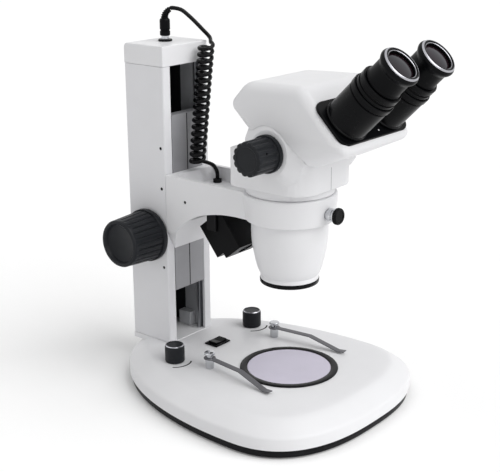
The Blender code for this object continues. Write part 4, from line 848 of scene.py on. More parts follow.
@dataclass
class Studio:
    """Plain pale floor and soft light."""

    floor_size: float = 60.0
    ambient: float = 0.44
    lift: float = 0.08

    def build(self) -> None:
        """Makes the floor, the lights and the world."""
        scene = bpy.context.scene
        scene.view_settings.view_transform = 'Standard'
        bm = bmesh.new()
        bmesh.ops.create_grid(bm, x_segments=1, y_segments=1, size=self.floor_size / 2)
        mesh = bpy.data.meshes.new("floor")
        bm.to_mesh(mesh)
        bm.free()
        floor = bpy.data.objects.new("floor", mesh)
        scene.collection.objects.link(floor)
        pale = Finish("pale_floor", "", (0.95, 0.95, 0.95), 0.9, relief=0.0, tone=0.0,
                      specular=0.0).material()
        self.lifted(pale)
        mesh.materials.append(pale)
        self.sun("key_light", (46.0, 0.0, 8.0), 2.20, 60.0)
        self.sun("back_light", (48.0, 0.0, 205.0), 0.35, 60.0)
        self.world()

    def lifted(self, material: bpy.types.Material) -> None:
        """Lifts the floor to white for the eye, in gloss and through glass, with no more light on the object.

        Args:
            material: The floor's material.
        """
        tree = material.node_tree
        shader = tree.nodes["Principled BSDF"]
        shader.inputs["Emission Color"].default_value = (1.0, 1.0, 1.0, 1.0)
        level = tree.nodes.new("ShaderNodeMath")
        level.operation = 'MULTIPLY'
        level.inputs[1].default_value = self.lift
        tree.links.new(self.seen(tree), level.inputs[0])
        tree.links.new(level.outputs[0], shader.inputs["Emission Strength"])

    def seen(self, tree: bpy.types.NodeTree) -> Socket:
        """A value of 1 for rays from the eye, from gloss and through glass.

        Args:
            tree: The node tree to add to.

        Returns:
            The value's socket.
        """
        rays = tree.nodes.new("ShaderNodeLightPath")
        socket = rays.outputs["Is Camera Ray"]
        for kind in ("Is Glossy Ray", "Is Transmission Ray"):
            wider = tree.nodes.new("ShaderNodeMath")
            wider.operation = 'MAXIMUM'
            tree.links.new(socket, wider.inputs[0])
            tree.links.new(rays.outputs[kind], wider.inputs[1])
            socket = wider.outputs[0]
        return socket

    def sun(self, name: str, turn: Triple, strength: float, spread: float) -> None:
        """Adds a broad, soft light from far away.

        Args:
            name: Name of the light.
            turn: Its turn in degrees about X, Y and Z.
            strength: Its strength.
            spread: Its width in degrees.
        """
        data = bpy.data.lights.new(name, 'SUN')
        data.energy = strength
        data.angle = math.radians(spread)
        light = bpy.data.objects.new(name, data)
        light.rotation_euler = [math.radians(value) for value in turn]
        bpy.context.scene.collection.objects.link(light)

    def world(self) -> None:
        """White to the eye, in gloss and through glass, softer as light."""
        world = bpy.data.worlds.new("studio")
        world.use_nodes = True
        bpy.context.scene.world = world
        tree = world.node_tree
        background = tree.nodes["Background"]
        background.inputs["Color"].default_value = (1.0, 1.0, 1.0, 1.0)
        level = tree.nodes.new("ShaderNodeMapRange")
        level.inputs["To Min"].default_value = self.ambient
        level.inputs["To Max"].default_value = 1.0
        tree.links.new(self.seen(tree), level.inputs["Value"])
        tree.links.new(level.outputs["Result"], background.inputs["Strength"])


@dataclass
class LampLead:
    """Curly lead from the plug on the column's cap to the arm."""

    middle_y: float = 0.162
    cap_top: float = 0.3518
    socket_radius: float = 0.0072
    socket_bore: float = 0.0042
    plug_low: float = 0.3575
    plug_high: float = 0.3747
    plug_radius: float = 0.0053
    relief_radius: float = 0.0041
    relief_end: float = 0.0030
    diameter: float = 0.0042
    curls: int = 18
    curl_radius: float = 0.0068
    lean: float = 0.0017
    lean_towards: Pair = (-0.7071, -0.7071)
    gap: float = 0.0003
    lead_step: float = 0.0022
    relief_tip: Triple = (0.0037, 0.1578, 0.3838)
    relief_ribs: int = 6
    lead_in: tuple[Triple, ...] = ((0.0109, 0.1494, 0.3832), (0.0158, 0.1442, 0.3777),
                                   (0.0210, 0.1389, 0.3705), (0.0264, 0.1344, 0.3630),
                                   (0.0318, 0.1298, 0.3552))
    coil: tuple[Triple, ...] = ((0.0186, 0.1225, 0.3500), (0.0095, 0.1220, 0.2915), (0.0005, 0.1215, 0.2296))
    lead_out: tuple[Triple, ...] = ((0.0130, 0.1180, 0.2284), (0.0186, 0.1155, 0.2250),
                                    (0.0215, 0.1138, 0.2195))
    end: Triple = (0.0220, 0.1130, 0.2105)

    def relief_line(self, steps: int) -> list[Vector]:
        """Finds the centre line of the strain relief.

        Args:
            steps: Steps along the line.

        Returns:
            Points along the line.
        """
        start = Vector((0.0, self.middle_y, self.plug_high))
        end = Vector(self.relief_tip)
        lift = start + Vector((0.0, 0.0, (end - start).length * 0.55))
        shares = [i / steps for i in range(steps + 1)]
        return [(1 - t) ** 2 * start + 2 * t * (1 - t) * lift + t * t * end for t in shares]

    def curl_line(self, per_curl: int) -> list[Vector]:
        """Finds the centre line of the curls.

        Args:
            per_curl: Steps along each curl.

        Returns:
            Points along the line.
        """
        top, middle, bottom = (Vector(point) for point in self.coil)
        bow = 2 * middle - (top + bottom) / 2
        steps = self.curls * per_curl
        points = []
        for i in range(steps + 1):
            t = i / steps
            turn = 2 * math.pi * self.curls * t
            spoke = Vector((math.cos(turn), -math.sin(turn), 0.0))
            drop = self.lean * (spoke.x * self.lean_towards[0] + spoke.y * self.lean_towards[1])
            centre = (1 - t) ** 2 * top + 2 * t * (1 - t) * bow + t * t * bottom
            points.append(centre + self.curl_radius * spoke - Vector((0.0, 0.0, drop)))
        return points

    def line(self) -> list[Vector]:
        """Finds the centre line of the whole cord, from the strain relief to the grommet.

        Returns:
            Points along the line.
        """
        relief = self.relief_line(16)
        heading = (relief[-1] - relief[-2]).normalized()
        start = relief[-1] + heading * self.gap
        curls = self.curl_line(20)
        end = Vector(self.end)
        first = [start, start + heading * self.lead_step, *self.lead_in, curls[0]]
        last = [curls[-1], *self.lead_out, end + Vector((0.0, 0.0, self.diameter)), end]
        return smooth_line(first, 4)[:-1] + curls + smooth_line(last, 4)[1:]

    def cord(self) -> bpy.types.Object:
        """Makes the cord in one pose; the real cord stretches as the arm moves.

        Returns:
            The cord.
        """
        line = self.line()
        form = tube_form(line, [self.diameter / 2] * len(line), 3)
        mesh = bpy.data.meshes.new("curly_lead")
        form.bm.to_mesh(mesh)
        form.bm.free()
        mesh.shade_smooth()
        mesh.materials.append(CORD_SKIN.material())
        item = bpy.data.objects.new("curly_lead", mesh)
        bpy.context.scene.collection.objects.link(item)
        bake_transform(item)
        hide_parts("curly_cord")
        return item

    def plug(self) -> None:
        """Plug with its ribbed strain relief, chrome collar and socket ring."""
        place = Matrix.Translation((0.0, self.middle_y, 0.0))
        rim, low, high = self.plug_radius, self.plug_low, self.plug_high
        body = Form.turned(((0.0, high), (rim - 0.0012, high), (rim - 0.0002, high - 0.0010),
                            (rim, high - 0.002), (rim, low + 0.0062), (rim - 0.0007, low + 0.0058),
                            (rim - 0.0007, low + 0.0050), (rim, low + 0.0046), (rim, low + 0.0006),
                            (rim - 0.0006, low), (0.0, low)), 48, place)
        line = self.relief_line(48)
        line[0] = line[0] - Vector((0.0, 0.0, self.plug_radius / 2))
        radii = []
        for i in range(len(line)):
            share = i / (len(line) - 1)
            rib = 0.5 - 0.5 * math.cos(2 * math.pi * self.relief_ribs * share)
            taper = self.relief_radius + (self.relief_end - self.relief_radius) * share
            radii.append(taper * (0.80 + 0.20 * rib))
        body.joined(tube_form(line, radii, 4)).piece("lead_plug", BLACK, "stand", "plug_body")
        foot = self.cap_top + self.gap
        Form.turned(((self.socket_bore, foot + 0.002), (self.socket_radius - 0.0006, foot + 0.002),
                     (self.socket_radius, foot + 0.0014), (self.socket_radius, foot),
                     (self.socket_bore, foot)), 48, place,
                    ring=True).piece("lead_socket", ANODISED, "stand", "socket_ring")
        dress(CHROME, "plug_collar")

    def build(self) -> None:
        """Makes the cord first, then its plug."""
        self.cord()
        self.plug()
        dress(RUBBER, "cord_grommet")


@dataclass
class Base:
    """Egg-shaped base with its black rim, feet and printed arcs."""

    half_width: float = 0.1233
    widest: float = -0.0176
    front_reach: float = 0.0888
    back_reach: float = 0.211
    front_power: float = 2.58
    back_power: float = 2.09
    points: int = 176
    low: float = 0.0097
    top: float = 0.0354
    wall: float = 0.004
    rim_low: float = 0.0018
    rim_top: float = 0.0094
    rim_inset: float = 0.0019
    edge: tuple[Pair, ...] = ((0.0, 0.0155), (0.0010, 0.0132), (0.0045, 0.0104), (0.0100, 0.0066),
                              (0.0155, 0.0030), (0.0205, 0.0008), (0.0270, 0.0))
    well: float = 0.0463
    pad: tuple[Triple, Triple] = ((-0.0332, 0.1347, 0.0300), (0.0332, 0.1893, 0.0359))
    foot_spots: tuple[Pair, ...] = ((-0.078, -0.055), (0.078, -0.055), (-0.052, 0.130), (0.052, 0.130))
    foot_radius: float = 0.009
    foot_height: float = 0.0015
    dimmer_x: float = 0.0621
    dimmer_y: float = 0.1005
    shaft_hole: float = 0.0048
    switch_hole: tuple[Pair, Pair] = ((-0.0089, 0.0906), (0.0109, 0.1044))
    arc_radius: float = 0.0168
    arc_width: float = 0.0017
    arc_start: float = math.radians(-145.0)
    arc_sweep: float = math.radians(92.0)

    def plan(self, inset: float) -> Form:
        """A face with the base's outline, moved inwards.

        Args:
            inset: Distance inwards.

        Returns:
            The form, a lone face.
        """
        form = Form()
        bmesh.ops.create_circle(form.bm, cap_ends=True, segments=self.points, radius=1.0)
        for vert in form.bm.verts:
            across, along = vert.co.x, vert.co.y
            power = 2 / (self.back_power if along >= 0 else self.front_power)
            reach = (self.back_reach if along >= 0 else self.front_reach) - inset
            vert.co.x = math.copysign(abs(across) ** power, across) * (self.half_width - inset)
            vert.co.y = self.widest + math.copysign(abs(along) ** power, along) * reach
        return form

    def shell(self) -> None:
        """White casting with its rounded edge, hollow below."""
        form = self.plan(0.0)
        bmesh.ops.translate(form.bm, vec=(0.0, 0.0, self.low), verts=form.bm.verts)
        edge = smooth_line(self.edge, 3)
        form.raise_face(form.bm.faces[:][0], self.top - edge[0].y - self.low)
        form.bm.faces.ensure_lookup_table()
        crown = max(form.bm.faces, key=lambda face: face.calc_center_median().z)
        bmesh.ops.recalc_face_normals(form.bm, faces=form.bm.faces)
        for before, after in zip(edge, edge[1:]):
            bmesh.ops.inset_region(form.bm, faces=[crown], thickness=max(after.x - before.x, 0.00002),
                                   depth=before.y - after.y, use_even_offset=True)
        under = min(form.bm.faces, key=lambda face: face.calc_center_median().z)
        bmesh.ops.delete(form.bm, geom=[under], context='FACES_ONLY')
        bmesh.ops.solidify(form.bm, geom=form.bm.faces[:], thickness=self.wall)
        form.settled()
        above = self.top + self.wall
        holes = [Form.rod(self.well, self.low, above, 96)]
        for side in Side:
            spot = Matrix.Translation((side.value * self.dimmer_x, self.dimmer_y, 0.0))
            holes.append(Form.rod(self.shaft_hole, self.low, above, 32, spot))
        (left, near), (right, far) = self.switch_hole
        holes.append(Form.box((left, near, self.low), (right, far, above)))
        form.minus(*holes).joined(Form.box(*self.pad).softened(0.0003, 1))
        form.piece("base_casting", WHITE, "stand", "base_shell", crease=40.0)

    def rim(self) -> None:
        """Black bottom plate that shows as a rim, and the rubber feet."""
        form = self.plan(self.rim_inset)
        bmesh.ops.translate(form.bm, vec=(0.0, 0.0, self.rim_low), verts=form.bm.verts)
        form.raise_face(form.bm.faces[:][0], self.rim_top - self.rim_low)
        form.settled().softened(0.0009, 3).piece("base_rim", RIM_BLACK, "stand", "base_plate")
        for number, (x, y) in enumerate(self.foot_spots, 1):
            foot = Form.turned(((0.0, self.foot_height), (self.foot_radius, self.foot_height),
                                (self.foot_radius, 0.0005), (self.foot_radius - 0.0006, 0.0), (0.0, 0.0)), 48,
                               Matrix.Translation((x, y, 0.0)))
            foot.piece(f"rubber_foot_{number}", RUBBER, "stand", f"foot_{number}")

    def arcs(self) -> None:
        """Printed brightness arcs beside the dimmers."""
        low, high = self.top - 0.0002, self.top + 0.00008
        for side in Side:
            spot = Matrix.Translation((side.value * self.dimmer_x, self.dimmer_y, 0.0))
            near, far = self.arc_radius - self.arc_width / 2, self.arc_radius + self.arc_width / 2
            place = spot @ Matrix.Rotation(self.arc_start, 4, 'Z')
            arc = Form.turned(((near, high), (far, high), (far, low), (near, low)), 28, place, True,
                              self.arc_sweep)
            arc.piece(side.word + "_dimmer_arc", INK_AND_SHADE, "stand")

    def build(self) -> None:
        """Makes the base."""
        self.shell()
        self.rim()
        self.arcs()


@dataclass
class Stage:
    """Frosted stage plate in its ring, with the clips."""

    top: float = 0.0354
    rim: float = 0.050
    sleeve: float = 0.046
    plate: float = 0.0425
    proud: float = 0.0012
    clip_x: float = 0.0525
    clip_y: float = 0.0609

    def ring(self) -> None:
        """Black ring and frosted plate."""
        high, seat = self.top + self.proud, self.plate + 0.0003
        shelf = high - 0.0046
        Form.turned(((seat, high - 0.0002), (seat + 0.0003, high), (self.rim - 0.0009, high),
                     (self.rim - 0.0003, high - 0.0003), (self.rim, high - 0.0008),
                     (self.rim, self.top + 0.0003), (self.sleeve, self.top + 0.0003),
                     (self.sleeve, shelf - 0.002), (seat - 0.0028, shelf - 0.002), (seat - 0.0028, shelf),
                     (seat, shelf)), 128, ring=True).piece("plate_ring", ANODISED, "stand", "stage_ring")
        Form.turned(((0.0, high - 0.0003), (self.plate - 0.0004, high - 0.0003), (self.plate, high - 0.0007),
                     (self.plate, shelf + 0.0003), (0.0, shelf + 0.0003)),
                    128).piece("plate_glass", FROSTED, "stand", "stage_glass")
        dress(LAMP_DOME, "stage_lamp")

    def clips(self) -> None:
        """Chrome posts and spring leaves."""
        low, neck = self.top + 0.0003, self.top + 0.0102
        head, top = self.top + 0.0150, self.top + 0.0176
        for side in Side:
            place = Matrix.Translation((side.value * self.clip_x, self.clip_y, 0.0))
            Form.turned(((0.0, top), (0.0040, top - 0.0001), (0.0050, top - 0.0003), (0.0055, top - 0.0008),
                         (0.0056, top - 0.0014), (0.0054, head + 0.0003), (0.0050, head),
                         (0.0034, head - 0.0003), (0.0034, neck), (0.0040, neck), (0.0044, neck - 0.0005),
                         (0.0044, low + 0.0014), (0.0042, low + 0.0010), (0.0042, low), (0.0, low)), 64,
                        place).piece(side.word + "_post", CHROME, "stand", side.word + "_clip_post")
            soften(side.word + "_clip_leaf", side.word + "_leaf", LEAF_STEEL, side.word + "_clip", 0.00025,
                   50.0)

    def build(self) -> None:
        """Makes the stage."""
        self.ring()
        self.clips()


@dataclass
class Controls:
    """Dimmer knobs and the mains switch."""

    top: float = 0.0354
    x: float = 0.0621
    y: float = 0.1005
    radius: float = 0.01015
    height: float = 0.0180
    ribs: int = 40

    def knobs(self) -> None:
        """Ribbed brightness knobs."""
        low = self.top + 0.0006
        high, rim = low + self.height, self.radius
        for side in Side:
            knob = Form.turned(((0.0, high - 0.0005), (rim - 0.0026, high - 0.0005), (rim - 0.0021, high),
                                (rim - 0.0013, high), (rim - 0.0005, high - 0.0007),
                                (rim - 0.0001, high - 0.0016), (rim, high - 0.0024), (rim, low + 0.0010),
                                (rim - 0.0003, low), (0.0033, low), (0.0033, self.top + 0.0153),
                                (0.0, self.top + 0.0153)), self.ribs * 6)
            knob.grooved(self.ribs, 0.00035, low + 0.0012, high - 0.0020, rim - 0.001, 2.0)
            knob.moved(Matrix.Translation((side.value * self.x, self.y, 0.0)))
            knob.piece(side.word + "_brightness_knob", GRIP, side.word + "_dimmer",
                       side.word + "_dimmer_knob")
            # A bright grey ring on the knob's top edge: a painted highlight.
            edge = Form.turned(((rim - 0.0014, high - 0.0001), (rim - 0.0013, high + 0.00005),
                                (rim - 0.0005, high - 0.00065), (rim - 0.0006, high - 0.0008)), 96, ring=True)
            edge.moved(Matrix.Translation((side.value * self.x, self.y, 0.0)))
            edge.piece(side.word + "_knob_highlight", BRIGHT_EDGE_AND_HIGHLIGHT, side.word + "_dimmer")
            dress(STEEL, side.word + "_dimmer_pot")

    def rocker(self) -> None:
        """Switch frame and rocker."""
        soften("switch_frame", "rocker_frame", BLACK, "stand", 0.0004, 50.0)
        soften("switch_rocker", "rocker", BLACK, "rocker", 0.0004, 10.0)

    def build(self) -> None:
        """Makes the controls."""
        self.knobs()
        self.rocker()


@dataclass
class Column:
    """Column with cap, rails, adjusting screws and power inlet."""

    half_width: float = 0.0332
    front: float = 0.1347
    back: float = 0.1893
    cap_low: float = 0.3315
    cap_top: float = 0.3518
    cap_round: float = 0.0050
    cap_edge: float = 0.0012
    cap_wall: float = 0.005
    screw_y: float = 0.1410
    screw_heights: tuple[float, ...] = (0.1204, 0.2058, 0.2483)
    screw_sink: float = 0.0009
    socket_y: float = 0.162
    socket_hole: float = 0.0045
    inlet_z: float = 0.0654
    blade_spots: tuple[Pair, ...] = ((-0.0070, -0.0020), (0.0070, -0.0020), (0.0, 0.0020))
    blade_size: Pair = (0.0020, 0.0010)
    blade_ends: Pair = (0.1752, 0.1860)

    def pillar(self) -> None:
        """The column itself and what runs inside it."""
        # The pillar's paint carries painted shade inside its hollow.
        soften("column", "pillar", COLUMN_WHITE_AND_SHADE, "stand", 0.0005, 60.0)
        dress(STEEL, "left_slide_rail", "right_slide_rail", "rack")
        dress(PALE_CAST, "slide_stop")
        screws = Form()
        for side in Side:
            for height in self.screw_heights:
                place = outwards(side, self.half_width - self.screw_sink, self.screw_y, height)
                screws.joined(socket_screw(place, 0.0009, 0.0005, 0.0015))
        screws.piece("adjusting_screws", YOKE_STEEL, "stand")

    def cap(self) -> None:
        """Cap with rounded edges."""
        form = Form.box((-self.half_width, self.front, self.cap_low),
                        (self.half_width, self.back, self.cap_top))
        form.softened(self.cap_round, 8, 35.0, lambda middle: middle.z > self.cap_top - 0.001
                      and middle.y > self.back - 0.001)
        form.softened(self.cap_edge, 3, 35.0, lambda middle: middle.z > self.cap_low + 0.001)
        wall = self.cap_wall
        hollow = Form.box((wall - self.half_width, self.front + wall, self.cap_low - wall),
                          (self.half_width - wall, self.back - wall, self.cap_top - wall))
        hole = Form.rod(self.socket_hole, self.cap_low, self.cap_top + wall, 32,
                        Matrix.Translation((0.0, self.socket_y, 0.0)))
        form.minus(hollow, hole).piece("pillar_cap", WHITE, "stand", "column_cap", even=True)

    def inlet(self) -> None:
        """Power inlet with its blades."""
        soften("power_inlet", "mains_inlet", BLACK, "stand", 0.0006, 60.0)
        blades = Form()
        wide, thick = self.blade_size
        for x, z in self.blade_spots:
            low = (x - wide, self.blade_ends[0], self.inlet_z + z - thick)
            high = (x + wide, self.blade_ends[1], self.inlet_z + z + thick)
            blades.joined(Form.box(low, high).softened(0.0004, 2))
        blades.piece("inlet_blades", BRASS, "stand")

    def build(self) -> None:
        """Makes the column."""
        self.pillar()
        self.cap()
        self.inlet()


@dataclass
class FocusDrive:
    """Carriage on the rails and the two focus knobs."""

    y: float = 0.15977
    z: float = 0.154
    start: float = 0.0344
    length: float = 0.0446
    rim: float = 0.0279
    rim_width: float = 0.0060
    face: float = 0.0247
    dish: float = 0.0205
    dish_depth: float = 0.0050
    ribs: int = 26
    shaft_hole: float = 0.0043
    shaft_depth: float = 0.030
    carriage_front: float = 0.1344
    carriage_low: float = 0.0934
    carriage_high: float = 0.2814
    seam: float = 0.0012

    def knobs(self) -> None:
        """Focus knobs with broad ribs and a dished face."""
        end, rim, face = self.length, self.rim, self.face
        deep = end - self.dish_depth
        sides = [(face + (rim - 0.0012 - face) * share,
                  end - 0.0030 + (self.rim_width + 0.0030 - end) * share)
                 for share in (i / 8 for i in range(9))]
        profile = [(0.0, deep), (self.dish - 0.0030, deep), (self.dish - 0.0012, deep + 0.0010),
                   (self.dish, end - 0.0008), (self.dish + 0.0008, end), (face - 0.0018, end),
                   (face - 0.0006, end - 0.0006), (face, end - 0.0018), *sides,
                   (rim - 0.0004, self.rim_width + 0.0008), (rim, self.rim_width), (rim, 0.0016),
                   (rim - 0.0005, 0.0005), (rim - 0.0016, 0.0), (self.shaft_hole, 0.0),
                   (self.shaft_hole, self.shaft_depth), (0.0, self.shaft_depth)]
        for side in Side:
            place = outwards(side, self.start, self.y, self.z)
            knob = Form.turned(profile, self.ribs * 10)
            knob.grooved(self.ribs, 0.0011, self.rim_width + 0.0012, end - 0.0036, face - 0.001, 7.0)
            knob.moved(place).piece(side.word + "_coarse_knob", GRIP, "focus_drive",
                                    side.word + "_focus_knob")
        dress(STEEL, "focus_shaft")

    def build(self) -> None:
        """Makes the drive."""
        soften("carriage", "slide_carriage", CAST, "carriage", 0.0004, 60.0)
        # A dark strip in the carriage's seam groove: painted shade in the groove.
        half, front = self.seam / 2, self.carriage_front
        line = Form.box((-half, front - 0.00004, self.carriage_low + 0.0005),
                        (half, front + self.seam, self.carriage_high - 0.0005))
        line.softened(0.0002, 1).piece("carriage_seam_shade", INK_AND_SHADE, "carriage")
        self.knobs()


@dataclass
class Arm:
    """Arm with the ring that holds the head, its clamp screw and the lamp below."""

    half_width: float = 0.0338
    back: float = 0.1341
    top: float = 0.2216
    shoulder: float = 0.1634
    foot: float = 0.1409
    foot_half: float = 0.0228
    ring_low: float = 0.1942
    rim: float = 0.0461
    low_rim: float = 0.0428
    bore: float = 0.0386
    arch: tuple[Pair, ...] = ((0.0420, 0.1946), (0.0620, 0.1929), (0.0860, 0.1874), (0.1040, 0.1789),
                              (0.1200, 0.1644), (0.1341, 0.1409))
    floor_top: float = 0.2064
    bay_top: float = 0.2014
    inside: float = 0.0288
    hollow: Pair = (0.0500, 0.1251)
    bay: Pair = (0.0470, 0.1060)
    side_screw: Pair = (0.1080, 0.1974)
    side_hole: float = 0.0017
    side_deep: float = 0.002
    side_sink: float = 0.0008
    clamp_z: float = 0.2058
    clamp_radius: float = 0.0050
    clamp_head: float = 0.0081
    clamp_tip: float = 0.0430
    clamp_collar: float = 0.0064
    clamp_seat: float = 0.0469
    clamp_neck: float = 0.0552
    clamp_end: float = 0.0596

    def casting(self) -> None:
        """White arm with a smooth arch below and a hollow top."""
        half, back = self.half_width, self.back
        under = [tuple(point) for point in smooth_line(self.arch, 6)]
        outline = [(0.0, self.ring_low), *under, (back, self.top), (0.0, self.top)]
        form = Form.slab(outline, -half, half, SIDEWAYS)
        spread, drop = half - self.foot_half, self.shoulder - self.foot
        wedges = []
        for side in Side:
            sign = side.value
            wedge = [(sign * half, self.shoulder), (sign * (half + spread), self.shoulder),
                     (sign * (half + spread), self.foot - drop),
                     (sign * (half - 2 * spread), self.foot - drop)]
            wedges.append(Form.slab(wedge, -2 * back, 0.0, TOWARDS_USER))
        form.minus(*wedges).softened(0.0022, 4, 60.0, lambda middle: middle.y > 0.05
                                     and abs(middle.x) > 0.02 and middle.y < back - 0.001
                                     and middle.z < self.top - 0.02)
        rim, low_rim, soft = self.rim, self.low_rim, 0.0012
        ring = Form.turned(((0.0, self.top), (rim - soft, self.top),
                            (rim - 0.35 * soft, self.top - 0.35 * soft), (rim, self.top - soft),
                            (rim, self.top - 6 * soft), (low_rim + soft, self.ring_low + soft),
                            (low_rim + 0.4 * soft, self.ring_low + 0.3 * soft),
                            (low_rim - 0.3 * soft, self.ring_low), (0.0, self.ring_low)), 128)
        form.plus(ring)
        hollow = Form.slab(rounded(((-self.inside, self.hollow[0], 0.004),
                                    (self.inside, self.hollow[0], 0.004),
                                    (self.inside, self.hollow[1], 0.004),
                                    (-self.inside, self.hollow[1], 0.004)), 6), self.floor_top,
                           self.top + half)
        bay = Form.box((-self.inside, self.bay[0], self.foot - half),
                       (self.inside, self.bay[1], self.bay_top))
        bore = Form.rod(self.bore, self.ring_low - half, self.top + half, 128)
        screw = Form.rod(self.clamp_radius + GAP, 0.0, 2 * rim, 32,
                         Matrix.Translation((0.0, 0.0, self.clamp_z)) @ TOWARDS_USER)
        holes = [Form.rod(self.side_hole, -self.side_deep, self.side_deep, 20,
                          Matrix.Translation((side.value * half, *self.side_screw)) @ ALONG_X)
                 for side in Side]
        form.minus(hollow, bay, bore, screw, *holes)
        form.softened(0.0007, 2, 50.0, self.open_edge)
        form.piece("arm_casting", WHITE, "carriage", "arm", even=True)
        screws = Form()
        for side in Side:
            place = outwards(side, half - self.side_sink, *self.side_screw)
            screws.joined(socket_screw(place, 0.0008, 0.0004, 0.001))
        screws.piece("arm_side_screws", YOKE_STEEL, "carriage")

    def open_edge(self, middle: Vector) -> bool:
        """Whether an edge is on the arm's upper rim, away from the ring."""
        return middle.z > self.top - 0.0001 and middle.y > 0.052 and middle.y < self.back - 0.0002

    def clamp(self) -> None:
        """Chrome shank and black knurled head of the clamp screw."""
        place = Matrix.Translation((0.0, 0.0, self.clamp_z)) @ TOWARDS_USER
        tip, neck, end, rim = self.clamp_tip, self.clamp_neck, self.clamp_end, self.clamp_head
        collar, seat = self.clamp_collar, self.clamp_seat
        shank = Form.turned(((0.0, neck + 0.001), (collar, neck + 0.001), (collar, neck - 0.0018),
                             (collar - 0.0007, neck - 0.0022), (collar - 0.0007, neck - 0.0028),
                             (collar, neck - 0.0032), (collar, seat + 0.0005), (collar - 0.0005, seat),
                             (self.clamp_radius, seat), (self.clamp_radius, tip + 0.0006),
                             (self.clamp_radius - 0.0006, tip), (0.0, tip)), 64, place)
        shank.piece("clamp_shank", CHROME, "clamp", "clamp_screw")
        head = Form.turned(((0.0, end - 0.0006), (rim - 0.0030, end - 0.0006), (rim - 0.0024, end),
                            (rim - 0.0010, end), (rim, end - 0.0010), (rim, neck + 0.0006),
                            (rim - 0.0006, neck), (0.0, neck)), 180)
        head.grooved(45, 0.0003, neck + 0.0004, end - 0.0008, rim - 0.0004)
        head.moved(place).piece("clamp_head", ANODISED, "clamp")

    def lamp(self) -> None:
        """Incident lamp in its yoke."""
        soften("lamp_case", "lamp_housing", BLACK, "lamp", 0.0007, 50.0)
        soften("lamp_yoke", "lamp_bracket", YOKE_STEEL, "carriage", 0.0003, 60.0)
        dress(PRISM, "lamp_lens")

    def build(self) -> None:
        """Makes the arm."""
        self.casting()
        self.clamp()
        self.lamp()


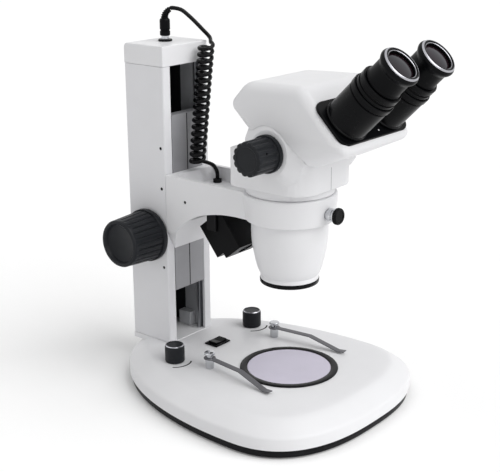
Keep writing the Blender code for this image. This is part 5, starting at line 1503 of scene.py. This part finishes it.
@dataclass
class Optics:
    """Objective barrel and the zoom body with its knobs."""

    low: float = 0.1337
    top: float = 0.2294
    radius: float = 0.038
    collar: float = 0.0435
    collar_low: float = 0.2219
    bore: float = 0.033
    window: float = 0.0235
    taper: tuple[Pair, ...] = ((0.0379, 0.0494), (0.0373, 0.0373), (0.0354, 0.0259), (0.0326, 0.0134),
                               (0.0300, 0.0065), (0.0284, 0.0040))
    foot: float = 0.0289
    shaft_y: float = -0.0148
    shaft_z: float = 0.2697
    knob_start: float = 0.0525
    knob_length: float = 0.0309
    knob_rim: float = 0.0180
    knob_rim_width: float = 0.0045
    knob_radius: float = 0.0163
    flutes: int = 14
    grub_radius: float = 0.0011
    grub_rise: float = 0.0106
    grub_depth: float = 0.003
    grub_turn: float = 20.7
    straight: float = 0.2080
    notch: float = math.radians(-141.2)
    body_low: float = 0.2299
    body_half: Pair = (0.0454, 0.042)
    ring_bore: float = 0.0215
    ring_mouth: float = 0.0225
    lens_radius: float = 0.0232
    shaft_hole: float = 0.0043
    shaft_depth: float = 0.020
    seam: float = 0.0005
    seam_front: float = 0.0485
    seam_ends: Pair = (0.2303, 0.2520)

    def barrel(self) -> None:
        """White barrel with its collar, black ring and lens."""
        low, top = self.low, self.top
        taper = [(point.x, low + point.y) for point in smooth_line(self.taper, 4)]
        profile = [(self.bore, top), (self.collar - 0.0010, top), (self.collar - 0.0003, top - 0.0003),
                   (self.collar, top - 0.0010), (self.collar, self.collar_low + 0.0006),
                   (self.collar - 0.0006, self.collar_low), (self.radius, self.collar_low),
                   (self.radius, self.straight), *taper, (self.foot, low + 0.0026), (self.foot, low),
                   (self.window, low), (self.window, low + 0.005), (self.bore, low + 0.0494)]
        notch = Form.box((self.collar - 0.0009, -0.0004, self.collar_low - 0.001),
                         (self.collar + 0.002, 0.0004, top + 0.001), Matrix.Rotation(self.notch, 4, 'Z'))
        tube = Form.turned(profile, 128, ring=True).minus(notch)
        tube.piece("objective_tube", WHITE, "head", "objective_barrel", crease=30.0)
        ring_top, ring_low, rim = low - 0.0003, low - 0.0045, self.foot + 0.0005
        ring = Form.turned(((self.ring_bore, ring_top), (rim - 0.0004, ring_top), (rim, ring_top - 0.0004),
                            (rim, ring_low + 0.0010), (rim - 0.0004, ring_low + 0.0003),
                            (rim - 0.0010, ring_low), (self.ring_mouth, ring_low),
                            (self.ring_bore, ring_low + 0.0010)), 128, ring=True)
        ring.piece("objective_rim", ANODISED, "head", "objective_ring")
        Form.turned(((0.0, low + 0.0035), (self.lens_radius, low + 0.0035), (self.lens_radius, low + 0.0016),
                     (0.0150, low + 0.0004), (0.0, low)),
                    96).piece("objective_glass", LENS, "head", "objective_lens")

    def lower_edge(self, middle: Vector) -> bool:
        """Whether an edge is on the zoom body's lower outer rim."""
        reach = max(abs(middle.x) / self.body_half[0], abs(middle.y) / self.body_half[1])
        return middle.z < self.body_low and reach > 0.93

    def body(self) -> None:
        """Zoom body with softened edges."""
        form = Form.copy_of("zoom_body")
        form.softened(0.0011, 3, 60.0, self.lower_edge)
        form.piece("zoom_housing", WHITE, "head", "zoom_body", crease=30.0, even=True)
        # A grey strip down the front seam: painted shade in the seam groove.
        half, front = self.seam / 2, -self.seam_front
        line = Form.box((-half, front - 0.00004, self.seam_ends[0]),
                        (half, front + self.seam, self.seam_ends[1]))
        line.piece("front_seam_shade", SEAM_SHADE, "head")
        dress(BRASS, "zoom_shaft")
        dress(ANODISED, "zoom_carrier")

    def knobs(self) -> None:
        """Zoom knobs with flutes and a grub screw hole."""
        end, rad = self.knob_length, self.knob_radius
        steps = [(rad, end - 0.0034 - (end - 0.0034 - self.knob_rim_width - 0.0010) * i / 4)
                 for i in range(5)]
        profile = [(0.0, end - 0.0006), (rad - 0.0050, end - 0.0006), (rad - 0.0042, end),
                   (rad - 0.0014, end), (rad - 0.0004, end - 0.0005), (rad, end - 0.0016), *steps,
                   (rad, self.knob_rim_width), (self.knob_rim - 0.0005, self.knob_rim_width),
                   (self.knob_rim, self.knob_rim_width - 0.0005), (self.knob_rim, 0.0005),
                   (self.knob_rim - 0.0005, 0.0), (self.shaft_hole, 0.0), (self.shaft_hole, self.shaft_depth),
                   (0.0, self.shaft_depth)]
        for side in Side:
            place = outwards(side, self.knob_start, self.shaft_y, self.shaft_z)
            knob = Form.turned(profile, self.flutes * 14)
            knob.grooved(self.flutes, 0.0013, self.knob_rim_width + 0.0004, end + 0.001, rad - 0.0030, 2.2)
            aim = Matrix.Rotation(math.radians(-90.0 - side.value * self.grub_turn), 4, 'Z')
            hole = Form.rod(self.grub_radius, rad - self.grub_depth, rad + 0.001, 24,
                            Matrix.Translation((0.0, 0.0, end - self.grub_rise)) @ aim @ ALONG_X)
            knob.minus(hole)
            knob.moved(place).piece(side.word + "_magnifier_knob", GRIP, "zoom_drive",
                                    side.word + "_zoom_knob")

    def build(self) -> None:
        """Makes the optics."""
        self.barrel()
        self.body()
        self.knobs()


@dataclass
class Head:
    """Slanted head with its black face plate."""

    face_y: float = -0.0838
    face_z: float = 0.3044
    slope: float = math.radians(45)
    face_high: float = 0.0440
    face_low: float = 0.0309
    plate_proud: float = 0.0017
    corner_high: float = 0.018
    corner_low: float = 0.007
    rest: tuple[Triple, ...] = ((-0.0520, 0.2565, 0.034), (0.0000, 0.2690, 0.012), (0.0395, 0.3089, 0.009),
                                (0.0175, 0.3319, 0.022))
    half_width: float = 0.0575
    back_half_width: float = 0.0475
    belly_tuck: float = 0.32
    belly_rise: float = 0.035
    belly_cuts: int = 7
    edge: float = 0.010
    edge_steps: int = 8
    wall: float = 0.004
    plate_half: float = 0.0530
    plate_low: float = 0.0225
    plate_high: float = 0.0255
    plate_corner: float = 0.0110
    plate_depth: float = 0.003
    room: tuple[Triple, ...] = ((-0.0457, -0.0488, 0.0243), (0.0457, -0.0488, 0.0243),
                                (0.0457, 0.0423, 0.0103), (-0.0457, 0.0423, 0.0103))
    room_span: Pair = (0.2297, 0.2660)
    boss: tuple[Pair, ...] = ((0.0, 0.0522), (0.0218, 0.0522), (0.0353, 0.0443), (0.0353, -0.0443),
                              (0.0218, -0.0522), (0.0, -0.0522))
    boss_spot: Triple = (0.0, -0.0148, 0.2697)
    window_inset: float = 0.004
    tube_x: float = 0.0295
    tube_hole: float = 0.0165
    dot: Pair = (0.0059, -0.0166)
    dot_radius: float = 0.0008

    @property
    def face(self) -> Matrix:
        """Frame of the slanted face: Y runs up the slope, Z along the tubes."""
        return Matrix.Translation((0.0, self.face_y, self.face_z)) @ Matrix.Rotation(self.slope, 4, 'X')

    def corners(self) -> list[Triple]:
        """Finds the corners of the side outline.

        Returns:
            Corners as (y, z, radius).
        """
        found = []
        for along, radius in ((self.face_high, self.corner_high), (-self.face_low, self.corner_low)):
            point = self.face @ Vector((0.0, along, -self.plate_proud))
            found.append((point.y, point.z, radius))
        return found + list(self.rest)

    def outline(self, inset: float) -> list[Pair]:
        """Finds the side outline, moved inwards.

        Args:
            inset: Distance inwards.

        Returns:
            Points round the outline as (y, z).
        """
        corners = self.corners()
        moved = []
        for i, (y, z, radius) in enumerate(corners):
            corner = Vector((y, z))
            before = (corner - Vector(corners[i - 1][:2])).normalized()
            after = (Vector(corners[(i + 1) % len(corners)][:2]) - corner).normalized()
            inward = Vector((-before.y, before.x)) + Vector((-after.y, after.x))
            place = corner + inward * inset / (1 + before.dot(after))
            moved.append((*place, max(radius - inset, radius / 2)))
        return rounded(moved, 14)

    def width_at(self, y: float, z: float) -> float:
        """Half width: widest at the face, narrower behind and under the belly.

        Args:
            y: Place along Y.
            z: Height.

        Returns:
            The half width there.
        """
        places = [corner[0] for corner in self.corners()]
        share = (y - min(places)) / (max(places) - min(places))
        width = self.half_width + (self.back_half_width - self.half_width) * share
        under = max(0.0, 1 - (z - self.rest[0][1]) / self.belly_rise)
        return width * (1 - self.belly_tuck * under * under)

    def block(self, inset: float, steps: int) -> Form:
        """The head's outer skin, or its hollow where an inset is given.

        Args:
            inset: Distance inwards.
            steps: Faces across each rounded edge.

        Returns:
            The form.
        """
        edge = self.edge - inset
        sections = []
        for sign in (-1, 1):
            for k in range(steps + 1):
                turn = math.pi / 2 * (k if sign < 0 else steps - k) / steps
                depth = inset + edge * (1 - math.sin(turn))
                narrow = inset + edge * (1 - math.cos(turn))
                sections.append([(sign * (self.width_at(y, z) - narrow), y, z)
                                 for y, z in self.outline(depth)])
        form = Form.loft(sections)
        for rise in range(1, self.belly_cuts + 1):
            level = self.rest[0][1] + self.belly_rise * rise / self.belly_cuts
            caps = [face for face in form.bm.faces if len(face.verts) > 8]
            parts = {*caps, *(edge for face in caps for edge in face.edges),
                     *(vert for face in caps for vert in face.verts)}
            bmesh.ops.bisect_plane(form.bm, geom=list(parts), plane_co=(0, 0, level), plane_no=(0, 0, 1))
        return form

    def plate_outline(self, grow: float) -> list[Pair]:
        """Finds the outline of the face plate.

        Args:
            grow: Distance outwards.

        Returns:
            Points round the outline.
        """
        half, low, high, corner = (self.plate_half + grow, -self.plate_low - grow, self.plate_high + grow,
                                   self.plate_corner + grow)
        return rounded(((-half, low, corner), (half, low, corner), (half, high, corner),
                        (-half, high, corner)), 10)

    def shell(self) -> None:
        """White head casting."""
        form = self.block(0.0, self.edge_steps)
        bmesh.ops.triangulate(form.bm, faces=[face for face in form.bm.faces if len(face.verts) > 4])
        hollow = self.block(self.wall, 4)
        bmesh.ops.triangulate(hollow.bm, faces=hollow.bm.faces)
        room = Form.slab(rounded(self.room, 6), *self.room_span)
        boss = Form.turned(self.boss, 48, Matrix.Translation(self.boss_spot) @ ALONG_X)
        pocket = Form.slab(self.plate_outline(GAP), -self.plate_depth - GAP, self.plate_depth, self.face)
        window = Form.slab(self.plate_outline(-self.window_inset), -4 * self.plate_depth, self.plate_depth,
                           self.face)
        form.minus(hollow, room, boss, pocket, window)
        form.piece("head_casting", WHITE, "head", "head_shell", crease=32.0, even=True)

    def plate(self) -> None:
        """Black face plate with its index dot."""
        form = Form.slab(self.plate_outline(0.0), -self.plate_depth, 0.0)
        form.softened(0.0006, 2, 50.0)
        holes = [Form.rod(self.tube_hole, -0.02, 0.02, 64,
                          Matrix.Translation((side.value * self.tube_x, 0.0, 0.0))) for side in Side]
        form.minus(*holes).moved(self.face).piece("front_plate", BLACK, "head", "face_plate", even=True)
        dot = Form.rod(self.dot_radius, -0.0002, 0.0001, 24, self.face @ Matrix.Translation((*self.dot, 0.0)))
        dot.piece("index_dot", WHITE_INK, "head")

    def build(self) -> None:
        """Makes the head."""
        self.shell()
        self.plate()


@dataclass
class Eyepieces:
    """The two eyepiece tubes with their rings, eyepieces and lenses."""

    head: Head
    tube_radius: float = 0.0208
    tube_end: float = 0.0420
    ring_radius: float = 0.0215
    ring_width: float = 0.0060
    groove: float = 0.0012
    soft: float = 0.0006
    bore: float = 0.0153
    ring_low: float = 0.0423
    ring_high: float = 0.0533
    diopter_radius: float = 0.0201
    start: float = 0.0536
    shoulder: float = 0.0178
    radius: float = 0.0170
    rim: float = 0.0196
    top: float = 0.0801
    lens_radius: float = 0.0140

    def tube(self, side: Side, place: Matrix) -> None:
        """Makes the tube that swings on the face plate.

        Args:
            side: The tube's side.
            place: Frame of the tube.
        """
        end, low = self.tube_end, self.tube_end - self.ring_width
        rim, neck, soft = self.ring_radius, self.tube_radius, self.soft
        profile = [(self.bore, end), (rim - soft, end), (rim, end - soft), (rim, low + soft),
                   (rim - soft, low), (neck - self.groove, low), (neck - self.groove, low - self.groove),
                   (neck - soft, low - self.groove), (neck, low - self.groove - soft), (neck, 0.0034),
                   (neck + 0.0005, 0.0030), (neck + 0.0008, 0.0022), (neck + 0.0006, 0.0012), (neck, 0.0006),
                   (0.0125, 0.0006), (0.0125, -0.0065), (0.009, -0.0065), (0.009, 0.0065),
                   (self.bore, 0.0065)]
        tube = Form.turned(profile, 96, place, ring=True)
        tube.piece(side.word + "_eye_tube", ANODISED, side.word + "_tube", side.word + "_tube", crease=30.0)
        dress(PRISM, side.word + "_prism")

    def diopter(self, side: Side, place: Matrix) -> None:
        """Makes the diopter ring with a groove round its middle.

        Args:
            side: The tube's side.
            place: Frame of the tube.
        """
        low, high, rim, soft = self.ring_low, self.ring_high, self.diopter_radius, self.soft
        mid, neck = (low + high) / 2, self.diopter_radius - 0.0010
        profile = [(self.bore, high), (rim - soft, high), (rim, high - soft), (rim, mid + 0.0004),
                   (rim - 0.0004, mid), (neck, mid), (neck, mid - 0.002), (rim - 0.0004, mid - 0.002),
                   (rim, mid - 0.0024), (rim, low + soft), (rim - soft, low), (self.bore, low)]
        ring = Form.turned(profile, 96, place, ring=True)
        ring.piece(side.word + "_sight_ring", ANODISED, side.word + "_diopter", side.word + "_diopter_ring",
                   crease=30.0)

    def eyepiece(self, side: Side, place: Matrix) -> None:
        """Makes the eyepiece with its flared rim, bright edges that carry painted highlights, and coated
        lens.

        Args:
            side: The tube's side.
            place: Frame of the tube.
        """
        start, top, body = self.start, self.top, side.word + "_tube"
        seat, room = top - 0.0050, self.lens_radius + 0.0003
        flare = smooth_line(((0.0178, top - 0.0006), (0.0186, top - 0.0016), (self.rim, top - 0.0040),
                             (0.0192, top - 0.0062), (0.0180, top - 0.0084), (0.0172, top - 0.0100),
                             (self.radius, top - 0.0114)), 4)
        profile = [(room, top - 0.0014), (0.0156, top - 0.0003), (0.0164, top), (0.0171, top - 0.0001),
                   *[tuple(point) for point in flare], (self.radius, start + 0.0034),
                   (self.radius + 0.0003, start + 0.0024), (self.shoulder, start + 0.0016),
                   (self.shoulder, start + 0.0005), (self.shoulder - 0.0005, start), (0.0150, start),
                   (0.0150, start - 0.030), (0.0115, start - 0.030), (0.0115, seat), (room, seat)]
        ocular = Form.turned(profile, 96, place, ring=True)
        ocular.piece(side.word + "_ocular", BLACK, body, side.word + "_eyepiece", crease=30.0)
        # Bright rings at the rim's outer edge and round the lens: bright metal edges, partly painted
        # highlights.
        edge = Form.turned(((0.0168, top - 0.0003), (0.0170, top + 0.0001), (0.0177, top - 0.0004),
                            (0.0184, top - 0.0012), (0.0179, top - 0.0015)), 96, place, ring=True)
        edge.joined(Form.turned(((room + 0.0001, top - 0.0016), (room + 0.0003, top - 0.0009),
                                 (room + 0.0007, top - 0.0007), (room + 0.0006, top - 0.0014)), 96, place,
                                ring=True))
        edge.piece(side.word + "_ocular_edge_highlight", BRIGHT_EDGE_AND_HIGHLIGHT, body)
        low = seat + 0.0003
        lens = Form.turned(((0.0, low + 0.0030), (0.0045, low + 0.00285), (0.0085, low + 0.0024),
                            (0.0115, low + 0.0018), (0.0133, low + 0.0013), (0.0140, low + 0.0008),
                            (0.0140, low), (0.0, low)), 96, place)
        lens.piece(side.word + "_ocular_lens", LENS, body, side.word + "_eye_lens")

    def build(self) -> None:
        """Makes both tubes."""
        for side in Side:
            place = self.head.face @ Matrix.Translation((side.value * self.head.tube_x, 0.0, 0.0))
            self.tube(side, place)
            self.diopter(side, place)
            self.eyepiece(side, place)


def main() -> None:
    """Builds the camera, the cord, the studio and each sub-assembly."""
    logging.basicConfig(level=logging.INFO, format="%(message)s")
    PhotoCamera().build()
    LampLead().build()
    Studio().build()
    head = Head()
    for part in (Base(), Stage(), Controls(), Column(), FocusDrive(), Arm(), Optics(), head, Eyepieces(head)):
        part.build()


if __name__ == "__main__":
    main()
